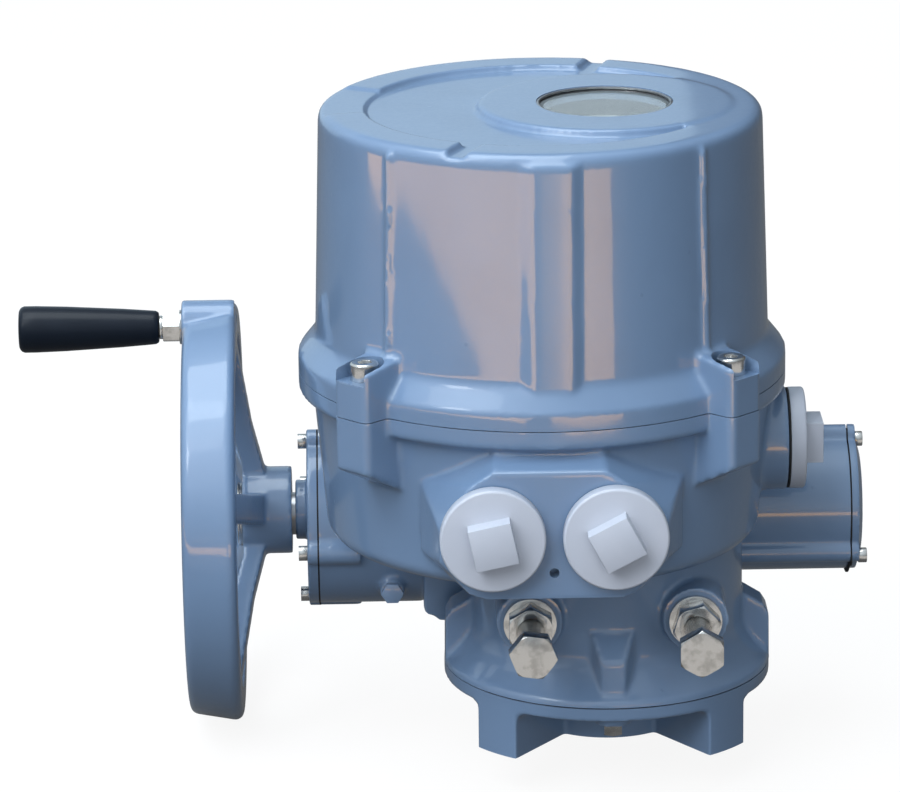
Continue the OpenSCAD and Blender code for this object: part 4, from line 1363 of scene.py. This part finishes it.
class Handwheel(Casting):
    """The cast handwheel with its rim, five spokes, hub and grip boss."""

    node = "handwheel"
    body = "worm_line"
    corner = 4.0
    rim_depth = 16.0
    draft = 3.0
    grip_r = 92.0
    spokes = 5

    def build(self, plan: Plan) -> None:
        """Casts, machines and places the handwheel."""
        shop, worm = Workshop, plan.worm
        solids = [self.rim(plan), shop.bar(-168, -145, 20.5, Axis.X, worm)]
        angles = tuple(360 // self.spokes * i for i in range(self.spokes))
        solids += Ring(Axis.X, worm, worm, angles).repeat(lambda: self.spoke(plan))
        grip = (0, plan.worm_y, plan.worm_z + self.grip_r)
        solids.append(shop.bar(-plan.rim_far - 0.6, -plan.rim_near - 1, 10.5, Axis.X, grip))
        cuts = [shop.bar(-175, -130, 10, Axis.X, worm), shop.bar(-200, -160, 4, Axis.X, grip)]
        self.cast(solids, cuts)

    def rim(self, plan: Plan) -> Piece:
        """The round rim, turned as a disc whose inside is cut away."""
        near, far, corner = -plan.rim_near, -plan.rim_far, self.corner
        outer, inner, segments = plan.wheel_r, plan.wheel_r - self.rim_depth, 240
        left = arc(far + corner, outer - self.draft - corner, corner, 180, 95, 5)
        right = arc(near - corner, outer - corner, corner, 90, 0, 5)
        disc = Workshop.turned(left + right, Axis.X, plan.worm, segments)
        mouth = [(far - 1, inner + 1), (far, inner + 0.5), (far + corner, inner)]
        mouth += [(near - corner, inner), (near, inner + 0.5), (near + 1, inner + 1)]
        return Workshop.machined(disc, [Workshop.turned(mouth, Axis.X, plan.worm, segments)])

    def spoke(self, plan: Plan) -> Piece:
        """One spoke, bent from the hub out to the rim, straight above the hub."""
        side = [(-157, 14), (-158, 22), (-163, 42), (-166.5, 64), (-170, 86)]
        side += [(-184, 86), (-179, 64), (-173, 42), (-168, 24), (-168, 14)]
        return Workshop.plate(side, plan.worm_y - 7, plan.worm_y + 7, Axis.Y, (0, 0, plan.worm_z))


class SmallPieces(Assembly):
    """Fasteners, plugs, grip and ring: rounded copies of their nodes."""

    housing = {
        "cable_plug_left": 0.7,
        "cable_plug_right": 0.7,
        "cable_plug_side": 0.7,
        "cover_screws": 0.5,
        "gear_case_screws": 0.35,
        "motor_screws": 0.35,
        "base_bolts": 0.35,
        "stop_bolt_left": 0.45,
        "stop_bolt_right": 0.45,
        "stop_nuts": 0.4,
        "stop_washers": 0.35,
        "grease_plug": 0.6,
        "window_ring": 0.25,
    }
    wheel = {"hub_washer": 0.4, "hub_screw": 0.4, "grip_nut": 0.4, "grip_spindle": 0.3}

    def build(self) -> None:
        """Rounds and places the pieces."""
        for node, width in self.housing.items():
            self.soften(node, "housing", width)
        for node, width in self.wheel.items():
            self.soften(node, "worm_line", width)
        self.soften("grip", "grip", 0.6, 3)


class StopThreads(Assembly):
    """The threads on the free shanks of the two stop bolts."""

    radius = 5.85
    depth = 0.95
    pitch = 1.75
    steps = 28
    head = 7.9

    def build(self, plan: Plan) -> None:
        """Winds and places both threads."""
        for side, node in ((-1, "stop_bolt_left"), (1, "stop_bolt_right")):
            near = self.low(node).y + self.head
            far = self.low("stop_nuts").y + 1
            thread = self.thread((far - near) / self.pitch)
            lay = Matrix.Translation((Vector(plan.stop(side)) + Vector((0, near, 0))) * MM)
            Workshop.settle(thread, lay @ Matrix.Rotation(math.radians(-90), 4, "X"))
            Workshop.smooth(thread, 50)
            thread.name = node + "_thread"
            self.paints.dress(thread, Slot.ZINC)
            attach(thread, "housing")

    def thread(self, turns: float) -> Piece:
        """One helical ridge around the Z axis, closed at both ends.

        Args:
            turns: how many turns it has.

        Returns:
            The ridge.
        """
        Workshop.clear()
        bpy.ops.mesh.primitive_circle_add(vertices=4, radius=MM, fill_type="NOTHING")
        piece = bpy.context.object
        half = self.pitch * 0.46
        corners = [(0, -half), (self.depth, -0.12), (self.depth, 0.12), (0, half)]
        for vertex, (out, along) in zip(piece.data.vertices, corners):
            vertex.co = Vector((self.radius - self.depth + out, 0, along)) * MM
        whole = max(1, round(turns))
        Workshop.apply(
            piece,
            "SCREW",
            screw_offset=self.pitch * MM * turns / whole,
            iterations=whole,
            steps=self.steps,
            use_merge_vertices=False,
        )
        with Workshop.edit(piece):
            bpy.ops.mesh.fill_holes(sides=4)
        return Workshop.outward(piece)


class Dressing(Assembly):
    """Gives every node that still shows its own finish."""

    def build(self) -> None:
        """Dresses the nodes of the frame."""
        for node, piece in self.nodes.items():
            self.paints.dress(piece, self.slots[node])
        log.info("dressed %d nodes", len(self.nodes))


@dataclass
class Studio:
    """The floor, the lamps, the world and the camera."""

    target: Point = (-70.92, 0.0, 154.01)
    azimuth: float = -0.85
    elevation: float = 16.31
    roll: float = -0.70
    distance: float = 2357.88
    lens: float = 206.86
    floor_z: float = -19.6
    floor_r: float = 14000.0
    floor_white: float = 0.8
    floor_glow: float = 1.13
    mirrored_white: float = 0.08

    def build(self) -> None:
        """Sets up the studio."""
        self.camera()
        self.floor()
        self.world()
        self.painted = bpy.data.collections.new("painted")
        self.plated = bpy.data.collections.new("plated")
        self.lamp("key", (-1350, -1850, 2100), (2000, 2000), 74, (0.98, 0.98, 1.0))
        self.lamp("top", (-500, 0, 2300), (2400, 2200), 34, (0.8, 0.92, 1.0))
        self.lamp("fill", (500, -2400, 350), (1400, 700), 14, (1.0, 0.98, 0.98))
        self.window("window_top", (-500, 0, 2400), (1500, 1500), (0.9, 0.97, 1.0), 3.1)
        self.window("window_left", (-1500, -1100, 2900), (1500, 1500), (0.88, 0.96, 1.0), 1.7)
        self.window("window_bright", (-1500, -1300, 1700), (500, 500), (0.95, 0.98, 1.0), 6)
        self.window("window_back", (-1170, 2356, 1000), (3090, 1900), (0.66, 0.86, 1.0), 0.6)
        near = [(-33, 1086), (-46, 1240), (-60, 1395), (-73, 1480), (-88, 1400), (-98, 1500)]
        self.card("card_left", near + [(-98, 2100), (-50, 2200), (-9, 2100), (-9, 760)])
        self.card("card_right", [(2, 760), (2, 2100), (33, 2100), (33, 760)], strength=4.8)
        ground = [(-80, 190), (-80, 1500), (-30, 1700), (40, 1700), (80, 1500), (80, 190), (0, 170)]
        self.card("card_ground", ground, (1.0, 0.95, 0.9), 0.42, self.plated, 5)
        bpy.context.scene.view_settings.view_transform = "Standard"

    @staticmethod
    def link(finish: bpy.types.Material, collection: bpy.types.Collection) -> None:
        """Puts every piece with a finish into a collection that a card shows on."""
        for piece in bpy.context.scene.objects:
            if piece.type == "MESH" and piece.active_material == finish:
                collection.objects.link(piece)

    def camera(self) -> None:
        """Places the camera where the photograph was taken from."""
        data = bpy.data.cameras.new("camera")
        data.sensor_fit = "HORIZONTAL"
        data.sensor_width = 36
        data.lens = self.lens
        data.clip_end = 50
        camera = bpy.data.objects.new("camera", data)
        bpy.context.scene.collection.objects.link(camera)
        turn = (
            Matrix.Rotation(math.radians(self.azimuth), 4, "Z")
            @ Matrix.Rotation(math.radians(90 - self.elevation), 4, "X")
            @ Matrix.Rotation(math.radians(self.roll), 4, "Z")
        )
        back = turn @ Vector((0, 0, self.distance * MM))
        camera.matrix_world = Matrix.Translation(Vector(self.target) * MM + back) @ turn
        bpy.context.scene.camera = camera

    def floor(self) -> None:
        """Lays a pale floor that keeps the shadow and looks white elsewhere."""
        floor = Workshop.plate(arc(0, 0, self.floor_r, 0, 360, 96)[1:], self.floor_z - 1, self.floor_z)
        floor.name = "floor"
        shader = Shader("pale_floor")
        shader.feed(
            Base_Color=shader.tint((0.06, 0.06, 0.06), (0.5, 0.5, 0.5), shader.ray("Camera")), Roughness=0.9
        )
        seen = (shader.ray("Camera") + shader.ray("Transmission")) * self.floor_white
        seen = seen + shader.ray("Glossy") * self.mirrored_white
        glow = shader.node("ShaderNodeEmission", {"Color": WHITE, "Strength": self.floor_glow})
        shader.end("ShaderNodeMixShader", {0: seen, 1: shader.surface.outputs[0], 2: glow.outputs[0]})
        floor.data.materials.append(shader.material)

    def card(
        self,
        name: str,
        outline: Outline,
        colour: Colour = (1.0, 0.5, 0.08),
        strength: float = 5.4,
        shown_on: bpy.types.Collection | None = None,
        rise: float = 2,
    ) -> None:
        """Lays a warm card in front, which only the gloss of some pieces shows, as a lit table does.

        Args:
            name: its name.
            outline: its corners, as an angle from the front and a distance from the bowl axis.
            colour: its colour.
            strength: how bright it is, where 1 is white.
            shown_on: the pieces that show it, or None for the painted ones.
            rise: how far it lies above the floor.
        """
        corners = []
        for angle, distance in outline:
            turn = math.radians(angle)
            corners.append((distance * math.sin(turn) - 29, -distance * math.cos(turn)))
        card = Workshop.plate(corners, self.floor_z + rise, self.floor_z + rise + 1)
        self.shine(card, name, colour, strength)
        card.light_linking.receiver_collection = shown_on or self.painted

    def window(
        self, name: str, place: Point, size: tuple[float, float], colour: Colour, strength: float
    ) -> None:
        """Hangs a bright window that only gloss shows, facing the object.

        Args:
            name: its name.
            place: its centre, in millimetres.
            size: its width and height in millimetres.
            colour: its colour.
            strength: how bright it is, where 1 is white.
        """
        half, tall = size[0] / 2, size[1] / 2
        pane = Workshop.block((-half, -tall, -1), (half, tall, 0))
        Workshop.settle(pane, self.facing(place))
        self.shine(pane, name, colour, strength)

    def facing(self, place: Point) -> Matrix:
        """The matrix that moves a thing to a place in millimetres and turns its -Z to the object."""
        aim = Vector(self.target) - Vector(place)
        return Matrix.Translation(Vector(place) * MM) @ aim.to_track_quat("-Z", "Y").to_matrix().to_4x4()

    @staticmethod
    def shine(piece: Piece, name: str, colour: Colour, strength: float) -> None:
        """Gives a piece of the studio a glow that only gloss shows.

        Args:
            piece: the mesh object.
            name: the name of the piece and its material.
            colour: the colour of the glow.
            strength: how bright it is, where 1 is white.
        """
        piece.name = name
        shader = Shader(name)
        both_faces = 2
        shown = shader.ray("Glossy") * (strength / both_faces)
        glow = shader.node("ShaderNodeEmission", {"Color": (*colour, 1), "Strength": shown})
        clear = shader.node("ShaderNodeBsdfTransparent")
        shader.end("ShaderNodeAddShader", {0: clear.outputs[0], 1: glow.outputs[0]})
        piece.data.materials.append(shader.material)
        piece.visible_camera = False
        piece.visible_diffuse = False
        piece.visible_shadow = False

    def world(self) -> None:
        """Lights everything a little, less from the right and behind, and shows white to the camera."""
        world = bpy.data.worlds.new("world")
        bpy.context.scene.world = world
        world.use_nodes = True
        graph = Graph(world.node_tree)
        place = graph.node("ShaderNodeTexCoord").outputs["Generated"]
        axes = graph.node("ShaderNodeSeparateXYZ", {0: place}).outputs
        share = Channel(graph, axes["Z"]).ramp(-0.1, 0.7, 0.3, 1.1)
        share = share * Channel(graph, axes["X"]).ramp(-0.1, 0.9, 1, 0.15)
        share = share * Channel(graph, axes["Y"]).ramp(0.3, 0.8, 1, 0.1)
        soft = graph.node("ShaderNodeBackground", {"Color": (0.8, 0.91, 1.0, 1), "Strength": share})
        white = graph.node("ShaderNodeBackground", {"Color": WHITE})
        seen = graph.ray("Glossy") * self.mirrored_white + graph.ray("Camera") + graph.ray("Transmission")
        mixed = graph.node("ShaderNodeMixShader", {0: seen, 1: soft.outputs[0], 2: white.outputs[0]})
        graph.node("ShaderNodeOutputWorld", {0: mixed.outputs[0]})

    def lamp(self, name: str, place: Point, size: tuple[float, float], power: float, colour: Colour) -> None:
        """Hangs a soft lamp that looks at the object.

        Args:
            name: its name.
            place: where it hangs, in millimetres.
            size: its width and height in millimetres.
            power: its power in watts.
            colour: its colour.
        """
        data = bpy.data.lights.new(name, "AREA")
        data.shape = "RECTANGLE"
        data.size, data.size_y = size[0] * MM, size[1] * MM
        data.energy = power
        data.color = colour
        lamp = bpy.data.objects.new(name, data)
        bpy.context.scene.collection.objects.link(lamp)
        lamp.visible_glossy = False
        lamp.matrix_world = self.facing(place)


def main() -> None:
    """Builds the studio and dresses the actuator."""
    logging.basicConfig(level=logging.INFO, format="%(message)s")
    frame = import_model()
    Workshop.clear()
    paints = Paintbox()
    studio = Studio()
    studio.build()
    dressing = Dressing(frame, paints)
    dressing.build()
    plan = Plan.of(dressing)
    for maker in (GearHousing, BaseFlange, TopCover, GearCaseCover, MotorEndCover, Handwheel):
        maker(frame, paints).build(plan)
    SmallPieces(frame, paints).build()
    StopThreads(frame, paints).build(plan)
    studio.link(paints.of(Slot.PAINT), studio.painted)
    studio.link(paints.of(Slot.ZINC), studio.plated)


if __name__ == "__main__":
    main()
